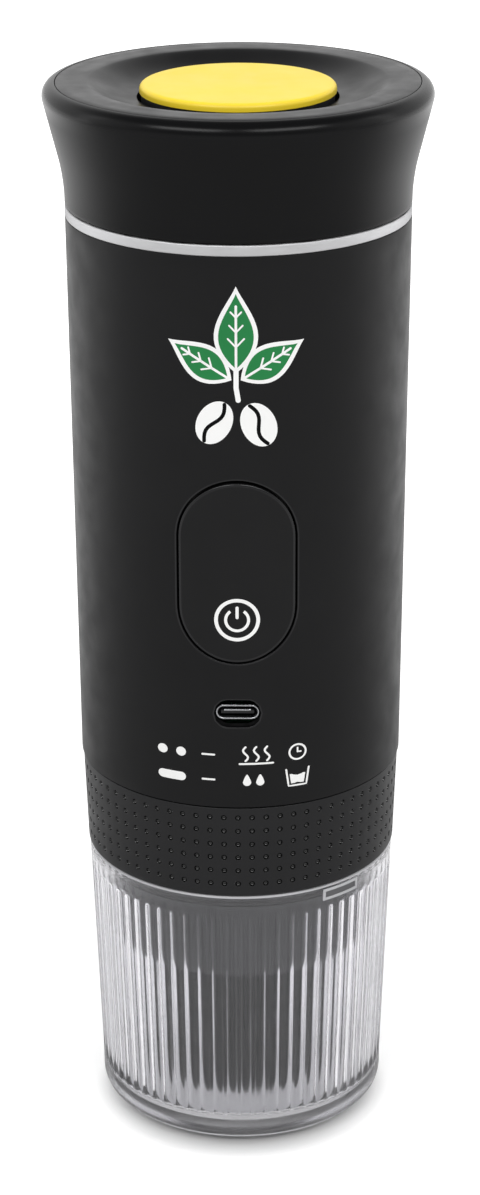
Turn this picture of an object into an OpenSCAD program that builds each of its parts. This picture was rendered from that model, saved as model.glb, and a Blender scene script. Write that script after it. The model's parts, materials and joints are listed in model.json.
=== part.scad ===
// Portable coffee machine that stands on its own cup.
// Millimetres, +Z up, origin under the middle of the cup, front towards -Y.

/* [Cup] */
// Height of the cup to its rim
cup_h = 60.5; // [54:0.5:75]
// Outer radius of the cup at its rim
cup_rim_r = 32.75; // [32:0.05:34]
// Outer radius of the cup at the top of its foot
cup_foot_r = 30.75; // [29:0.05:32]
// Wall thickness of the cup
cup_wall = 2.2; // [1.8:0.1:2.6]
// Floor thickness of the cup
cup_floor = 3.4; // [2:0.1:6]
// Height of the smooth foot below the flutes
foot_h = 7; // [5:0.5:10]
// Rounding of the foot's lower edge
foot_round = 4; // [2:0.5:4.5]
// Rounding inside, where the wall meets the floor
cup_fillet = 5; // [2:0.5:8]
// Depth of the hollow under the cup
foot_hollow = 0.8; // [0.4:0.1:1.6]
// Width of the ring that the cup stands on
stand_w = 4; // [2:0.5:8]
// Number of flutes round the cup
flute_count = 66; // [40:1:72]
// Depth of a flute
flute_depth = 0.55; // [0.3:0.05:0.8]
// Radius of a flute's round bottom
flute_r = 1.5; // [1.2:0.1:2]
// Height of the smooth band above the flutes
rim_band = 4.3; // [3.5:0.1:6]
// Width of the latch frame on the smooth band
latch_w = 9.5; // [6:0.1:12]
// Height of the latch frame
latch_h = 2.6; // [2:0.1:3.2]
// Width of the latch frame's raised line
latch_line = 0.6; // [0.4:0.05:0.8]
// Distance that the latch frame stands proud of the cup
latch_proud = 0.3; // [0.2:0.05:0.5]
// Distance of the latch frame below the cup's rim
latch_drop = 0.9; // [0.6:0.1:1.5]
// Direction of the latch frame, from the front towards the right
latch_turn = 41; // [0:1:90]

/* [Brew holder] */
// Height of the grip band
grip_h = 20.4; // [17:0.2:26]
// Radius of the grip band at its lower edge
grip_r_low = 32.95; // [32:0.05:34]
// Radius of the grip band at its upper edge
grip_r_high = 33.7; // [33:0.05:34.5]
// Thickness of the grip sleeve at its lower edge
sleeve_t = 1.5; // [1.2:0.1:2.2]
// Length of the spigot inside the cup's mouth
spigot_h = 5.5; // [4.5:0.5:9]
// Wall of the spigot
spigot_wall = 2; // [1.6:0.1:2.4]
// Thickness of the seal on the spigot
seal_d = 1.2; // [0.9:0.1:1.4]
// Distance that the seal stands proud of the spigot
seal_proud = 0.1; // [0.05:0.05:0.15]
// Height of the basket's seat above the cup's rim
seat_rise = 3.5; // [2:0.5:6]
// Depth of the basket pocket below its seat
pocket_depth = 23; // [21:0.5:28]
// Wall of the basket pocket
pocket_wall = 2; // [1.5:0.1:3]
// Floor of the basket pocket
pocket_floor = 2.5; // [2:0.1:4]
// Outer radius of the spout
spout_r = 16.5; // [12:0.5:20]
// Length of the spout below the pocket
spout_h = 24.5; // [16:0.5:28]
// Wall of the spout
spout_wall = 2; // [1.5:0.1:3]
// Radius of the spout's outlet
outlet_r = 4.5; // [3.5:0.1:6]
// Height of the funnel inside the spout
funnel_h = 9; // [6:0.5:12]

/* [Coffee basket] */
// Outer radius of the basket's wall
basket_r = 23.3; // [20:0.1:24.5]
// Height of the basket below its flange
basket_h = 19; // [14:0.5:20]
// Sheet thickness of the basket
basket_t = 0.8; // [0.6:0.1:1.2]
// Thickness of the basket's flange
basket_flange_t = 1.2; // [0.8:0.1:2]
// Width of the lip under the filter plate
filter_lip = 3; // [2:0.25:5]
// Thickness of the filter plate
filter_t = 0.6; // [0.4:0.1:1.2]
// Radius of the holes in the filter plate
filter_hole_r = 0.5; // [0.3:0.1:0.8]
// Number of rings of holes in the filter plate
filter_rings = 4; // [2:1:5]
// Number of holes in the innermost ring
filter_first = 6; // [4:1:8]
// Spacing of the rings of holes
filter_pitch = 3.8; // [3:0.1:4]

/* [Brew head] */
// Radius of the skirt that screws into the holder
skirt_r = 27.2; // [26.5:0.1:28]
// Wall of the skirt
skirt_wall = 3; // [2:0.1:3.4]
// Floor of the brew head
head_floor = 4; // [3:0.1:6]
// Thickness of the brew head's flange
head_flange_t = 4.5; // [3.5:0.1:7]
// Thickness of the brew gasket
gasket_t = 2.5; // [2:0.1:3.5]
// Width of the brew gasket
gasket_w = 3.3; // [2.5:0.1:3.4]
// Radius of the shower screen
shower_r = 22.5; // [20:0.1:23]
// Thickness of the shower screen
shower_t = 0.6; // [0.4:0.1:1]
// Depth of the space above the shower screen
shower_gap = 1; // [0.6:0.1:1.8]
// Radius of the shower screw's head
shower_head_r = 3; // [2.5:0.1:4]
// Height of the shower screw's head
shower_head_h = 1.2; // [0.8:0.1:1.5]
// Radius of the shower screw's shank
shower_shank_r = 1.4; // [1:0.1:1.8]
// Depth of the shower screw in the brew head
shower_screw_len = 2.8; // [2:0.1:2.9]
// Width of the brew head's rim that the shower screen rests on
shower_rim = 1; // [0.6:0.1:1.5]
// Number of screws between brew head and lower frame
head_screw_count = 3; // [3:1:6]
// Radius of the heads of these screws
head_screw_r = 1.6; // [1.2:0.1:1.8]
// Height of the heads of these screws
head_screw_h = 1; // [0.8:0.1:1.4]
// Radius of the shanks of these screws
head_shank_r = 0.8; // [0.6:0.05:1]
// Length of these screws
head_screw_len = 8; // [6.5:0.5:10]

/* [Housing] */
// Radius of the housing at its lower edge
housing_r_low = 34; // [33.5:0.1:36]
// Radius of the housing at its upper edge
housing_r_high = 35; // [34.5:0.1:37]
// Wall of the housing
housing_wall = 2.2; // [1.8:0.1:2.4]
// Height of the silver ring
trim_h = 2.2; // [1.4:0.1:4]
// Chamfer on the silver ring's edges
trim_chamfer = 0.3; // [0.1:0.05:0.6]

/* [Frames and cells] */
// Height of the lower frame's foot ring
frame_foot_h = 6; // [5:0.5:10]
// Width of the foot ring
frame_foot_w = 4; // [3.6:0.1:6]
// Thickness of the frames
frame_t = 5; // [4.5:0.1:8]
// Depth of the seats for cells and board
seat_depth = 3; // [2:0.1:3.5]
// Diameter of a battery cell
cell_d = 18.5; // [17:0.1:20]
// Length of a battery cell
cell_len = 65; // [60:0.5:72]
// Radius of a cell's raised contact
contact_r = 3; // [2:0.1:5]
// Height of a cell's raised contact
contact_h = 0.8; // [0.4:0.1:1]
// Gap between neighbouring cells
cell_gap = 0.4; // [0.3:0.1:1]
// Wall between a cell and the frame's edge
cell_edge = 0.75; // [0.5:0.05:1.5]
// Thickness of the circuit board
board_t = 1.6; // [1:0.1:2]
// Wall between the board's side edges and the frame's rim
board_edge = 0.7; // [0.5:0.1:1.5]

/* [Heater and tank] */
// Thickness of the insulating disc
insulator_t = 1.8; // [1:0.1:4]
// Radius of the heater plate
heater_r = 24; // [23.5:0.1:27]
// Thickness of the heater plate
heater_t = 2.2; // [1.5:0.1:4]
// Radius of the thermal sensor
sensor_r = 4; // [2.5:0.1:5]
// Height of the thermal sensor
sensor_h = 3; // [2.2:0.1:5]
// Distance of the thermal sensor from the middle
sensor_x = 12; // [10:0.5:15]
// Inner radius of the water tank
tank_r = 27.6; // [26.5:0.1:28]
// Sheet thickness of the water tank
tank_t = 0.8; // [0.5:0.1:1.1]
// Depth of the water tank
tank_depth = 46; // [38:0.5:60]
// Height of the shoulder between the tank and its neck
shoulder_h = 4; // [2:0.5:8]
// Width of the tank's rim
rim_w = 2; // [1.5:0.1:2.2]
// Wall of the neck collar
neck_wall = 1.9; // [1.6:0.1:2.2]
// Height of the neck above the housing
neck_rise = 12.7; // [11:0.1:14]
// Thickness of the neck collar's flange
neck_flange_t = 2.2; // [1.5:0.1:4]

/* [Pump and motor] */
// Outer radius of the pump
pump_r = 13; // [11.5:0.1:14]
// Thickness of the pump's cover
pump_cover_t = 3; // [2:0.1:5]
// Thickness of the pump's diaphragm
diaphragm_t = 1.5; // [1:0.1:2.5]
// Height of the pump's drive housing
pump_h = 11.5; // [10:0.5:15]
// Wall and floor of the pump's drive housing
pump_wall = 2; // [1.5:0.1:3]
// Radius of the drive cam
cam_r = 6; // [4:0.1:7]
// Offset of the drive cam
cam_offset = 1.5; // [0.5:0.1:2]
// Height of the drive cam
cam_h = 5; // [3:0.1:6]
// Outer radius of the motor
motor_r = 12; // [11.5:0.1:13]
// Length of the motor without its cap
motor_len = 27; // [24:0.5:32]
// Sheet thickness of the motor's can
motor_t = 1; // [0.6:0.1:1.4]
// Thickness of the motor's cap
motor_cap_t = 2; // [1.5:0.1:3]
// Thickness of the magnets
magnet_t = 1.2; // [0.8:0.1:1.5]
// Air gap between magnets and armature
air_gap = 0.6; // [0.4:0.1:1]
// Radius of the motor's shaft
shaft_r = 1; // [0.8:0.05:1.5]
// Number of poles on the armature
pole_count = 3; // [3:1:5]
// Width of the slots between the poles
pole_slot = 2; // [1:0.1:3]
// Outer radius of the hoses
hose_r = 3.2; // [2.8:0.1:4]
// Radius of the spigots that the hoses sit on
barb_r = 1.75; // [1.5:0.05:2]
// Bore of the spigots
barb_bore = 1; // [0.6:0.1:1.2]
// Distance that a hose overlaps a spigot
barb_h = 6; // [5:0.5:8]
// Gap between the pump and its neighbours
pump_gap = 3; // [2:0.1:4]

/* [Power key] */
// Width of the power key
key_w = 23.5; // [20:0.1:24]
// Height of the power key
key_h = 38.2; // [34:0.1:42]
// Height of the key's middle above the housing's lower edge
key_rise = 51.5; // [46:0.5:58]
// Gap around the key
key_gap = 0.35; // [0.3:0.05:0.6]
// Width of the lip behind the key
key_lip = 1.2; // [0.8:0.1:1.4]
// Thickness of the lip behind the key
key_lip_t = 1; // [0.8:0.1:1.2]
// Height of the power sign above the housing's lower edge
sign_rise = 41.7; // [38:0.1:45]
// Width of the switch behind the sign
switch_w = 6; // [5:0.1:8]
// Height of the switch off the board
switch_h = 3.5; // [3:0.1:4]
// Thickness of the switch's base
switch_base = 1; // [0.6:0.1:1.2]
// Radius of the switch's plunger
plunger_r = 1.75; // [1.2:0.05:2]
// Width of the status light
led_w = 3.5; // [2:0.1:5]
// Height of the status light off the board
led_h = 1; // [0.6:0.1:1.5]

/* [Charging port] */
// Height of the port above the housing's lower edge
port_rise = 21.1; // [19.5:0.1:24]
// Width of the recess round the port
port_recess_w = 9.6; // [9.4:0.1:13]
// Height of the recess round the port
port_recess_h = 6; // [5:0.1:7]
// Depth of the recess round the port
port_recess_d = 1; // [0.6:0.1:1.2]
// Outer width of the port's metal shell
port_w = 8.94; // [8.8:0.02:9.4]
// Outer height of the port's metal shell
port_h = 3.26; // [3.1:0.02:3.6]
// Sheet thickness of the port's shell
port_t = 0.3; // [0.2:0.05:0.4]
// Length of the port's shell
port_len = 7.3; // [6.5:0.1:8]
// Width of the tongue in the port
tongue_w = 6.7; // [6:0.1:7]
// Thickness of the tongue in the port
tongue_t = 0.7; // [0.5:0.05:0.9]
// Depth of the block at the back of the port
port_block = 2; // [1.5:0.1:3]

/* [Lid] */
// Height of the lid
lid_h = 24.3; // [22:0.1:28]
// Wall of the lid
lid_wall = 2.2; // [1.6:0.1:2.4]
// Radius of the hollow curve at the lid's lower edge
flare_r = 41; // [30:0.5:60]
// Angle of the lid's side to the vertical
flare_angle = 14; // [10:0.5:16]
// Rounding of the lid's upper edge
lid_round = 2.6; // [1.5:0.1:3.5]
// Thickness of the lid's top cover
cover_t = 1.8; // [1.2:0.1:2.4]
// Width of the ledge that the cover rests on
ledge_w = 3; // [2:0.1:4]
// Outer radius of the dish in the cover
dish_r = 29.5; // [28:0.1:32]
// Depth of the dish in the cover
dish_depth = 3.2; // [2:0.1:3.4]
// Wall of the well in the cover
well_wall = 1.5; // [1:0.1:2]
// Thickness of the web inside the lid
web_t = 2; // [1.5:0.1:2.6]
// Gap between the liner's skirt and the lid's wall
liner_gap = 0.45; // [0.3:0.05:0.8]
// Wall of the liner's skirt
liner_wall = 1.6; // [1.2:0.1:1.6]
// Thickness of the liner's ceiling
ceiling_t = 2.2; // [1.8:0.1:2.8]
// Thickness of the lid's gasket
lid_gasket_t = 1.4; // [1:0.1:2]
// Number of screws that hold the liner
lid_screw_count = 4; // [3:1:6]
// Radius of the lid screws' heads
lid_screw_r = 2.2; // [1.6:0.1:2.4]
// Height of the lid screws' heads
lid_screw_h = 1.5; // [1:0.1:2]

/* [Vent] */
// Radius of the vent button
button_r = 19.65; // [17:0.05:21]
// Distance of the button's top below the lid's top
button_sink = 0.8; // [0:0.1:1.4]
// Thickness of the button's top
button_t = 1.6; // [1.2:0.1:2]
// Wall of the button's skirt
button_wall = 1.5; // [1:0.1:2]
// Rounding of the button's edge
button_round = 0.5; // [0.3:0.05:1]
// Gap between button and well
button_gap = 0.5; // [0.3:0.05:0.8]
// Travel of the vent button
vent_travel = 2; // [1.5:0.1:2.2]
// Radius of the vent stem
stem_r = 2.5; // [2:0.05:3]
// Radius of the steam hole round the stem
steam_r = 5; // [4.6:0.1:6]
// Radius of the vent valve
valve_r = 8; // [7:0.1:10]
// Thickness of the vent valve
valve_t = 2.5; // [2:0.1:4]
// Middle radius of the vent spring
spring_r = 7.5; // [6.6:0.1:9]
// Wire radius of the vent spring
wire_r = 0.3; // [0.25:0.05:0.35]
// Number of turns of the vent spring
spring_turns = 4; // [3:1:4]
// Number of steam holes round the stem
steam_count = 3; // [3:1:5]

/* [Clearances] */
// Height of the joint lines between the outer pieces
seam = 0.3; // [0.2:0.05:0.5]
// Gap between sleeves that screw or slide on each other
thread_clear = 0.4; // [0.3:0.05:0.6]
// Gap between pieces that lift out freely
free_clear = 0.3; // [0.2:0.05:0.5]
// Gap of pieces that are fitted into each other
fit_clear = 0.05; // [0.03:0.01:0.1]

/* [Hidden] */
$fn = 96;
// Overshoot of cuts
cut = 1;
// Directions of the first screw in the brew head and in the lid
head_screw_turn = 30;
lid_screw_turn = 45;

// Heights, from the cup upwards
z_rim = cup_h;
z_grip = z_rim + seam;
z_seat = z_rim + seat_rise;
z_pocket = z_seat - pocket_depth;
z_pod = z_pocket - pocket_floor;
z_seal = z_rim - spigot_h / 2;
z_spout = z_pod - spout_h;
z_gasket = z_seat + basket_flange_t;
z_head = z_gasket + gasket_t;
z_body = z_grip + grip_h + seam;
z_screw = z_body + head_screw_h + free_clear;
z_foot = z_body + head_flange_t;
z_plate = z_foot + frame_foot_h;
z_lower = z_plate + frame_t;
z_cell = z_lower - seat_depth;
z_upper = z_cell + cell_len - seat_depth;
z_insulator = z_upper + frame_t;
z_heater = z_insulator + insulator_t;
z_tank = z_heater + heater_t;
z_neck = z_tank + tank_depth;
z_house = z_neck - neck_rise;
z_lid = z_house + trim_h + seam;
z_lid_top = z_lid + lid_h;
z_tank_rim = z_neck + tank_t;
z_ceiling = z_tank_rim + lid_gasket_t;
z_web = z_ceiling + ceiling_t;
z_well = z_web + cover_t;
z_button = z_lid_top - button_sink;
z_key = z_body + key_rise;
z_sign = z_body + sign_rise;
z_port = z_body + port_rise;

// Radii of the outer pieces and of what fits inside them
function lerp(a, b, t) = a + (b - a) * t;
function house_r(z) = lerp(housing_r_low, housing_r_high, (z - z_body) / (z_house - z_body));
// Radius of what fits into the housing from its lower edge up to a height
function inside_r(z) = min(housing_r_low, house_r(z)) - housing_wall - free_clear;
function cup_r(z) = lerp(cup_foot_r, cup_rim_r, (z - foot_h) / (cup_h - foot_h));
function cup_bore(z) = cup_r(z) - cup_wall;
core_r = grip_r_low - sleeve_t - fit_clear;
base_r = inside_r(z_lower);
frame_r = inside_r(z_insulator);
bore_r = skirt_r + thread_clear;
pocket_r = basket_r + 2 * free_clear;
pod_r = pocket_r + pocket_wall;
spigot_r = cup_bore(z_rim - spigot_h) - free_clear;
flange_r = bore_r - thread_clear;
cell_ring = frame_r - cell_edge - cell_d / 2;
cell_step = 2 * asin((cell_d + cell_gap) / (2 * cell_ring));
cell_angles = [90 - cell_step, 90, 90 + cell_step];
liner_out = housing_r_high - lid_wall - liner_gap;
liner_in = liner_out - liner_wall;
neck_out = liner_in - thread_clear;
neck_in = neck_out - neck_wall;
tank_neck_r = neck_in - fit_clear - tank_t;
tank_rim_r = tank_neck_r + tank_t + rim_w - free_clear;
z_lip = z_house - housing_wall;
z_collar = z_lip - neck_flange_t;
well_r = button_r + button_gap;
steam_hole_r = (steam_r - stem_r) / 4;
steam_ring_r = (steam_r + stem_r) / 2;
lid_screw_ring = (well_r + well_wall + liner_in) / 2;

// Distances from the axis between which bars cut through the housing's front
front_in = min(housing_r_low, housing_r_high) / 2;
front_out = max(housing_r_low, housing_r_high) + cut;

// Places of the board, the pump and the hoses
port_face = house_r(z_port) - port_recess_d;
board_face = port_face - port_len;
board_back = board_face - board_t;
board_w = 2 * sqrt(pow(frame_r - board_edge, 2) - pow(board_face, 2));
cell_reach = pump_r + cell_d / 2;
cell_x = cell_ring * sin(cell_step);
cell_y = cell_ring * cos(cell_step);
pump_front = pump_r - board_back;
pump_rear = cell_y - sqrt(pow(cell_reach, 2) - pow(cell_x, 2));
pump_y = (pump_front + pump_rear) / 2;
z_gallery = z_lower + pump_cover_t / 2;
z_pump = z_lower + pump_cover_t + diaphragm_t;
z_motor = z_pump + pump_h;
z_cap = z_motor + motor_len;
hose_x = pump_r + hose_r + pump_gap / 2;
hose_bore = barb_r + fit_clear;
z_inlet_boss = z_head + head_floor + barb_h;
armature_r = motor_r - motor_t - magnet_t - air_gap;
z_cam = z_pump + pump_wall + (pump_h - pump_wall - cam_h) / 2;
key_back = housing_wall + fit_clear + key_lip_t;
plunger_front = house_r(z_sign) - key_back - 3 * fit_clear;

// Outline of the lid: hollow curve, straight flank, rounded edge
flare_h = flare_r * sin(flare_angle);
edge_z = lid_h - lid_round;
flank_z = edge_z - lid_round * sin(flare_angle);
function lid_r(h) = housing_r_high + (h < flare_h
    ? flare_r - sqrt(pow(flare_r, 2) - pow(h, 2))
    : flare_r * (1 - cos(flare_angle)) + (h - flare_h) * tan(flare_angle));
edge_r = lid_r(flank_z) - lid_round * cos(flare_angle);
cover_r = edge_r - 2 * fit_clear;
ledge_z = lid_h - cover_t;
// Points on each curved stretch of an outline
steps = 8;

// Shared shapes

module cone(z0, z1, r0, r1) {
    translate([0, 0, z0]) cylinder(h = z1 - z0, r1 = r0, r2 = r1);
}

module disc(z0, z1, r) {
    cone(z0, z1, r, r);
}

module ring(z0, z1, r_out, r_in) {
    difference() {
        disc(z0, z1, r_out);
        disc(z0 - cut, z1 + cut, r_in);
    }
}

module around(count, r, turn = 0) {
    for (i = [0 : count - 1])
        rotate([0, 0, turn + 360 * i / count]) translate([r, 0, 0]) children();
}

module stadium(w, h) {
    r = min(w, h) / 2;
    square([w > h ? w - 2 * r : w, w > h ? h : h - 2 * r], center = true);
    for (s = [-1, 1]) translate([s * (w / 2 - r), s * (h / 2 - r)]) circle(r);
}

// A stadium-shaped bar that points forwards, between two distances from the axis
module front_bar(w, h, z, d0, d1) {
    translate([0, -d0, z]) rotate([90, 0, 0]) linear_extrude(d1 - d0) stadium(w, h);
}

// A layer of the housing's wall, below its outer surface
module housing_layer(depth, t) {
    difference() {
        cone(z_body, z_house, housing_r_low - depth, housing_r_high - depth);
        cone(z_body, z_house, housing_r_low - depth - t, housing_r_high - depth - t);
    }
}

module at_pump() {
    translate([0, pump_y, 0]) children();
}

module at_hose() {
    translate([hose_x, pump_y, 0]) children();
}

module at_cells() {
    for (a = cell_angles) rotate([0, 0, a]) translate([cell_ring, 0, 0]) children();
}

module board_outline(grow) {
    translate([-board_w / 2 - grow, -board_face - grow, 0])
        square([board_w + 2 * grow, board_t + 2 * grow]);
}

// Cup and brew holder

module cup() {
    foot_arc = [for (i = [0 : steps])
        let (a = -90 + 90 * i / steps)
        [cup_foot_r - foot_round + foot_round * cos(a), foot_round + foot_round * sin(a)]];
    inner_r = cup_bore(cup_floor + cup_fillet);
    floor_arc = [for (i = [0 : steps])
        let (a = -90 * i / steps)
        [inner_r - cup_fillet + cup_fillet * cos(a), cup_floor + cup_fillet + cup_fillet * sin(a)]];
    stand_r = cup_foot_r - foot_round - stand_w;
    color("#3a3d42") {
        difference() {
            rotate_extrude() polygon(concat(
                [[0, foot_hollow], [stand_r - foot_hollow, foot_hollow], [stand_r, 0]],
                foot_arc,
                [[cup_foot_r, foot_h], [cup_rim_r, cup_h], [cup_bore(cup_h), cup_h]],
                floor_arc,
                [[0, cup_floor]]));
            flutes();
        }
        for (turn = [0, 180]) rotate([0, 0, turn + latch_turn]) latch_frame();
    }
}

// Round-bottomed grooves that follow the cup's taper and run out below its rim
module flutes() {
    lean = atan2(cup_rim_r - cup_foot_r, cup_h - foot_h);
    len = (cup_h - rim_band - foot_h) / cos(lean) - flute_r;
    out = (flute_r - flute_depth) / cos(lean);
    around(flute_count, cup_foot_r + out) translate([0, 0, foot_h]) rotate([0, lean, 0]) {
        cylinder(h = len, r = flute_r);
        translate([0, 0, len]) sphere(flute_r);
    }
}

// A raised rectangular line on the smooth band, at the front
module latch_frame() {
    z1 = z_rim - latch_drop;
    z0 = z1 - latch_h;
    intersection() {
        difference() {
            cone(z0, z1, cup_r(z0) + latch_proud, cup_r(z1) + latch_proud);
            cone(z0 - cut, z1 + cut, cup_r(z0 - cut) - cup_wall / 2, cup_r(z1 + cut) - cup_wall / 2);
        }
        translate([0, 0, (z0 + z1) / 2]) rotate([90, 0, 0]) linear_extrude(2 * cup_rim_r) difference() {
            square([latch_w, latch_h], center = true);
            square([latch_w - 2 * latch_line, latch_h - 2 * latch_line], center = true);
        }
    }
}

module holder_body() {
    color("#232527") difference() {
        union() {
            disc(z_rim, z_body - seam / 2, core_r);
            ring(z_rim - spigot_h, z_rim + cut, spigot_r, spigot_r - spigot_wall);
            disc(z_pod, z_rim + cut, pod_r);
        }
        disc(z_seat, z_body + cut, bore_r);
        disc(z_pocket, z_seat + cut, pocket_r);
        disc(z_pod - cut, z_pocket + cut, outlet_r + free_clear);
        ring(z_seal - seal_d / 2, z_seal + seal_d / 2, spigot_r + cut, spigot_r + seal_proud - seal_d);
    }
}

module grip_sleeve() {
    color("#1f2022") difference() {
        cone(z_grip, z_grip + grip_h, grip_r_low, grip_r_high);
        disc(z_grip - cut, z_grip + grip_h + cut, core_r + fit_clear);
    }
}

module spout() {
    bore = spout_r - spout_wall;
    color("#1b1c1e") rotate_extrude() polygon([
        [outlet_r, z_spout], [spout_r, z_spout], [spout_r, z_pod], [bore, z_pod],
        [bore, z_spout + spout_wall + funnel_h], [outlet_r, z_spout + spout_wall]]);
}

module cup_seal() {
    color("#2a2b2d") translate([0, 0, z_seal]) rotate_extrude()
        translate([spigot_r + seal_proud - seal_d / 2, 0]) circle(seal_d / 2 - fit_clear);
}

// Coffee basket

module coffee_basket() {
    floor_z = z_seat - basket_h;
    color("#c9ccd0") difference() {
        union() {
            disc(floor_z, z_seat + basket_flange_t, basket_r);
            disc(z_seat, z_seat + basket_flange_t, flange_r);
        }
        disc(floor_z + basket_t, z_seat + basket_flange_t + cut, basket_r - basket_t);
        disc(floor_z - cut, floor_z + basket_t + cut, basket_r - basket_t - filter_lip);
    }
}

module filter_plate() {
    z0 = z_seat - basket_h + basket_t;
    color("#d4d6d9") difference() {
        disc(z0, z0 + filter_t, basket_r - basket_t - free_clear);
        for (i = [1 : filter_rings])
            around(filter_first * i, i * filter_pitch)
                disc(z0 - cut, z0 + filter_t + cut, filter_hole_r);
    }
}

// Brew head

module brew_gasket() {
    color("#8a2f22") ring(z_gasket, z_head, flange_r, flange_r - gasket_w);
}

module brew_head() {
    boss_r = shower_head_r + 2 * fit_clear;
    color("#2b2d30") difference() {
        union() {
            difference() {
                union() {
                    disc(z_head, z_body + head_flange_t, skirt_r);
                    disc(z_body, z_foot, base_r);
                }
                disc(z_head + head_floor, z_foot + cut, skirt_r - skirt_wall);
                disc(z_head - cut, z_head + shower_gap, shower_r - shower_rim);
            }
            disc(z_head, z_head + head_floor, boss_r);
            at_pump() disc(z_head + shower_gap, z_inlet_boss, hose_r + fit_clear);
            at_pump() disc(z_inlet_boss - cut, z_inlet_boss + barb_h, barb_r);
        }
        at_pump() disc(z_head - cut, z_inlet_boss + barb_h + cut, barb_bore);
        disc(z_head - cut, z_head + shower_screw_len + fit_clear, shower_shank_r + fit_clear);
        head_screw_places() {
            disc(z_body - cut, z_screw, head_screw_r + fit_clear);
            disc(z_body, z_foot + cut, head_shank_r + fit_clear);
        }
    }
}

module head_screw_places() {
    around(head_screw_count, (skirt_r + base_r) / 2, head_screw_turn) children();
}

module head_screws() {
    color("#9a9da1") head_screw_places() {
        disc(z_screw - head_screw_h, z_screw, head_screw_r);
        disc(z_screw - head_screw_h, z_screw + head_screw_len, head_shank_r);
    }
}

module shower_screen() {
    color("#d4d6d9") difference() {
        disc(z_head - shower_t, z_head, shower_r);
        disc(z_head - shower_t - cut, z_head + cut, shower_shank_r + fit_clear);
        for (i = [2 : filter_rings])
            around(filter_first * i, i * filter_pitch)
                disc(z_head - shower_t - cut, z_head + cut, filter_hole_r);
    }
}

module shower_screw() {
    color("#b9bcc0") {
        disc(z_head - shower_t - shower_head_h, z_head - shower_t, shower_head_r);
        disc(z_head - shower_t, z_head + shower_screw_len, shower_shank_r);
    }
}

// Frames, cells and board

module lower_frame() {
    color("#4a4d52") difference() {
        union() {
            disc(z_plate, z_lower, base_r);
            ring(z_foot, z_plate + cut, base_r, base_r - frame_foot_w);
        }
        at_cells() disc(z_cell, z_lower + cut, cell_d / 2 + 2 * fit_clear);
        translate([0, 0, z_cell]) linear_extrude(seat_depth + cut) board_outline(2 * fit_clear);
        at_pump() disc(z_plate - cut, z_lower + cut, hose_r + free_clear);
        head_screw_places() disc(z_foot - cut, z_screw + head_screw_len + fit_clear,
            head_shank_r + fit_clear);
    }
}

module upper_frame() {
    color("#4a4d52") difference() {
        disc(z_upper, z_insulator, frame_r);
        at_cells() disc(z_upper - cut, z_upper + seat_depth, cell_d / 2 + 2 * fit_clear);
        at_cells() disc(z_upper, z_upper + seat_depth + cut, contact_r + free_clear);
        translate([0, 0, z_upper - cut]) linear_extrude(seat_depth + cut)
            board_outline(2 * fit_clear);
        at_hose() disc(z_upper - cut, z_insulator + cut, hose_r + free_clear);
        translate([-sensor_x, pump_y, 0])
            disc(z_upper - cut, z_insulator + cut, sensor_r + free_clear);
        key_room();
    }
}

// Space that the key's lip needs behind the housing
module key_room() {
    lip_w = key_w + 2 * key_lip;
    lip_r = house_r(z_key - key_h / 2 - key_lip) - key_back;
    depth = sqrt(pow(lip_r, 2) - pow(lip_w / 2, 2)) - 2 * free_clear;
    front_bar(lip_w + 2 * free_clear, key_h + 2 * (key_lip + free_clear), z_key, depth, front_out);
}

module battery_cell(i) {
    color("#5a7d9a") rotate([0, 0, cell_angles[i]]) translate([cell_ring, 0, 0]) {
        disc(z_cell, z_cell + cell_len, cell_d / 2);
        disc(z_cell + cell_len - cut, z_cell + cell_len + contact_h, contact_r);
    }
}

module battery_cell_right() {
    battery_cell(0);
}

module battery_cell_rear() {
    battery_cell(1);
}

module battery_cell_left() {
    battery_cell(2);
}

module main_board() {
    color("#1f5a3a") translate([0, 0, z_cell])
        linear_extrude(z_upper + seat_depth - z_cell - fit_clear) board_outline(0);
}

module tact_switch() {
    color("#2a2b2d") translate([0, -board_face, z_sign]) rotate([90, 0, 0]) difference() {
        translate([-switch_w / 2, -switch_w / 2, 0]) cube([switch_w, switch_w, switch_h]);
        translate([0, 0, switch_base]) cylinder(h = switch_h, r = plunger_r + fit_clear);
    }
}

module status_led() {
    color("#f4f4ee") translate([-led_w / 2, -board_face - led_h, z_key + key_h / 4])
        cube([led_w, led_h, led_w]);
}

module usb_shell() {
    color("#b8bbbf") difference() {
        front_bar(port_w, port_h, z_port, board_face, port_face);
        front_bar(port_w - 2 * port_t, port_h - 2 * port_t, z_port,
            board_face - cut, port_face + cut);
    }
}

module usb_tongue() {
    inner = port_t + fit_clear;
    color("#191a1b") {
        front_bar(port_w - 2 * inner, port_h - 2 * inner, z_port,
            board_face, board_face + port_block);
        translate([-tongue_w / 2, -port_face + port_t, z_port - tongue_t / 2])
            cube([tongue_w, port_len - port_t - port_block / 2, tongue_t]);
    }
}

// Pump, motor and hoses

module pump_cover() {
    arm_w = 2 * hose_r;
    color("#d8d4c8") difference() {
        union() {
            at_pump() disc(z_lower, z_lower + pump_cover_t, pump_r);
            at_pump() translate([0, -arm_w / 2, z_lower]) cube([hose_x, arm_w, pump_cover_t]);
            at_hose() disc(z_lower, z_lower + pump_cover_t, hose_r);
            at_hose() disc(z_lower + pump_cover_t - cut, z_lower + pump_cover_t + barb_h, barb_r);
            at_pump() disc(z_lower - barb_h, z_lower + cut, barb_r);
        }
        at_hose() disc(z_gallery, z_lower + pump_cover_t + barb_h + cut, barb_bore);
        at_pump() disc(z_lower - barb_h - cut, z_gallery, barb_bore);
    }
}

module pump_diaphragm() {
    color("#3b3b3d") at_pump()
        disc(z_lower + pump_cover_t, z_pump, pump_r - free_clear);
}

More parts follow.
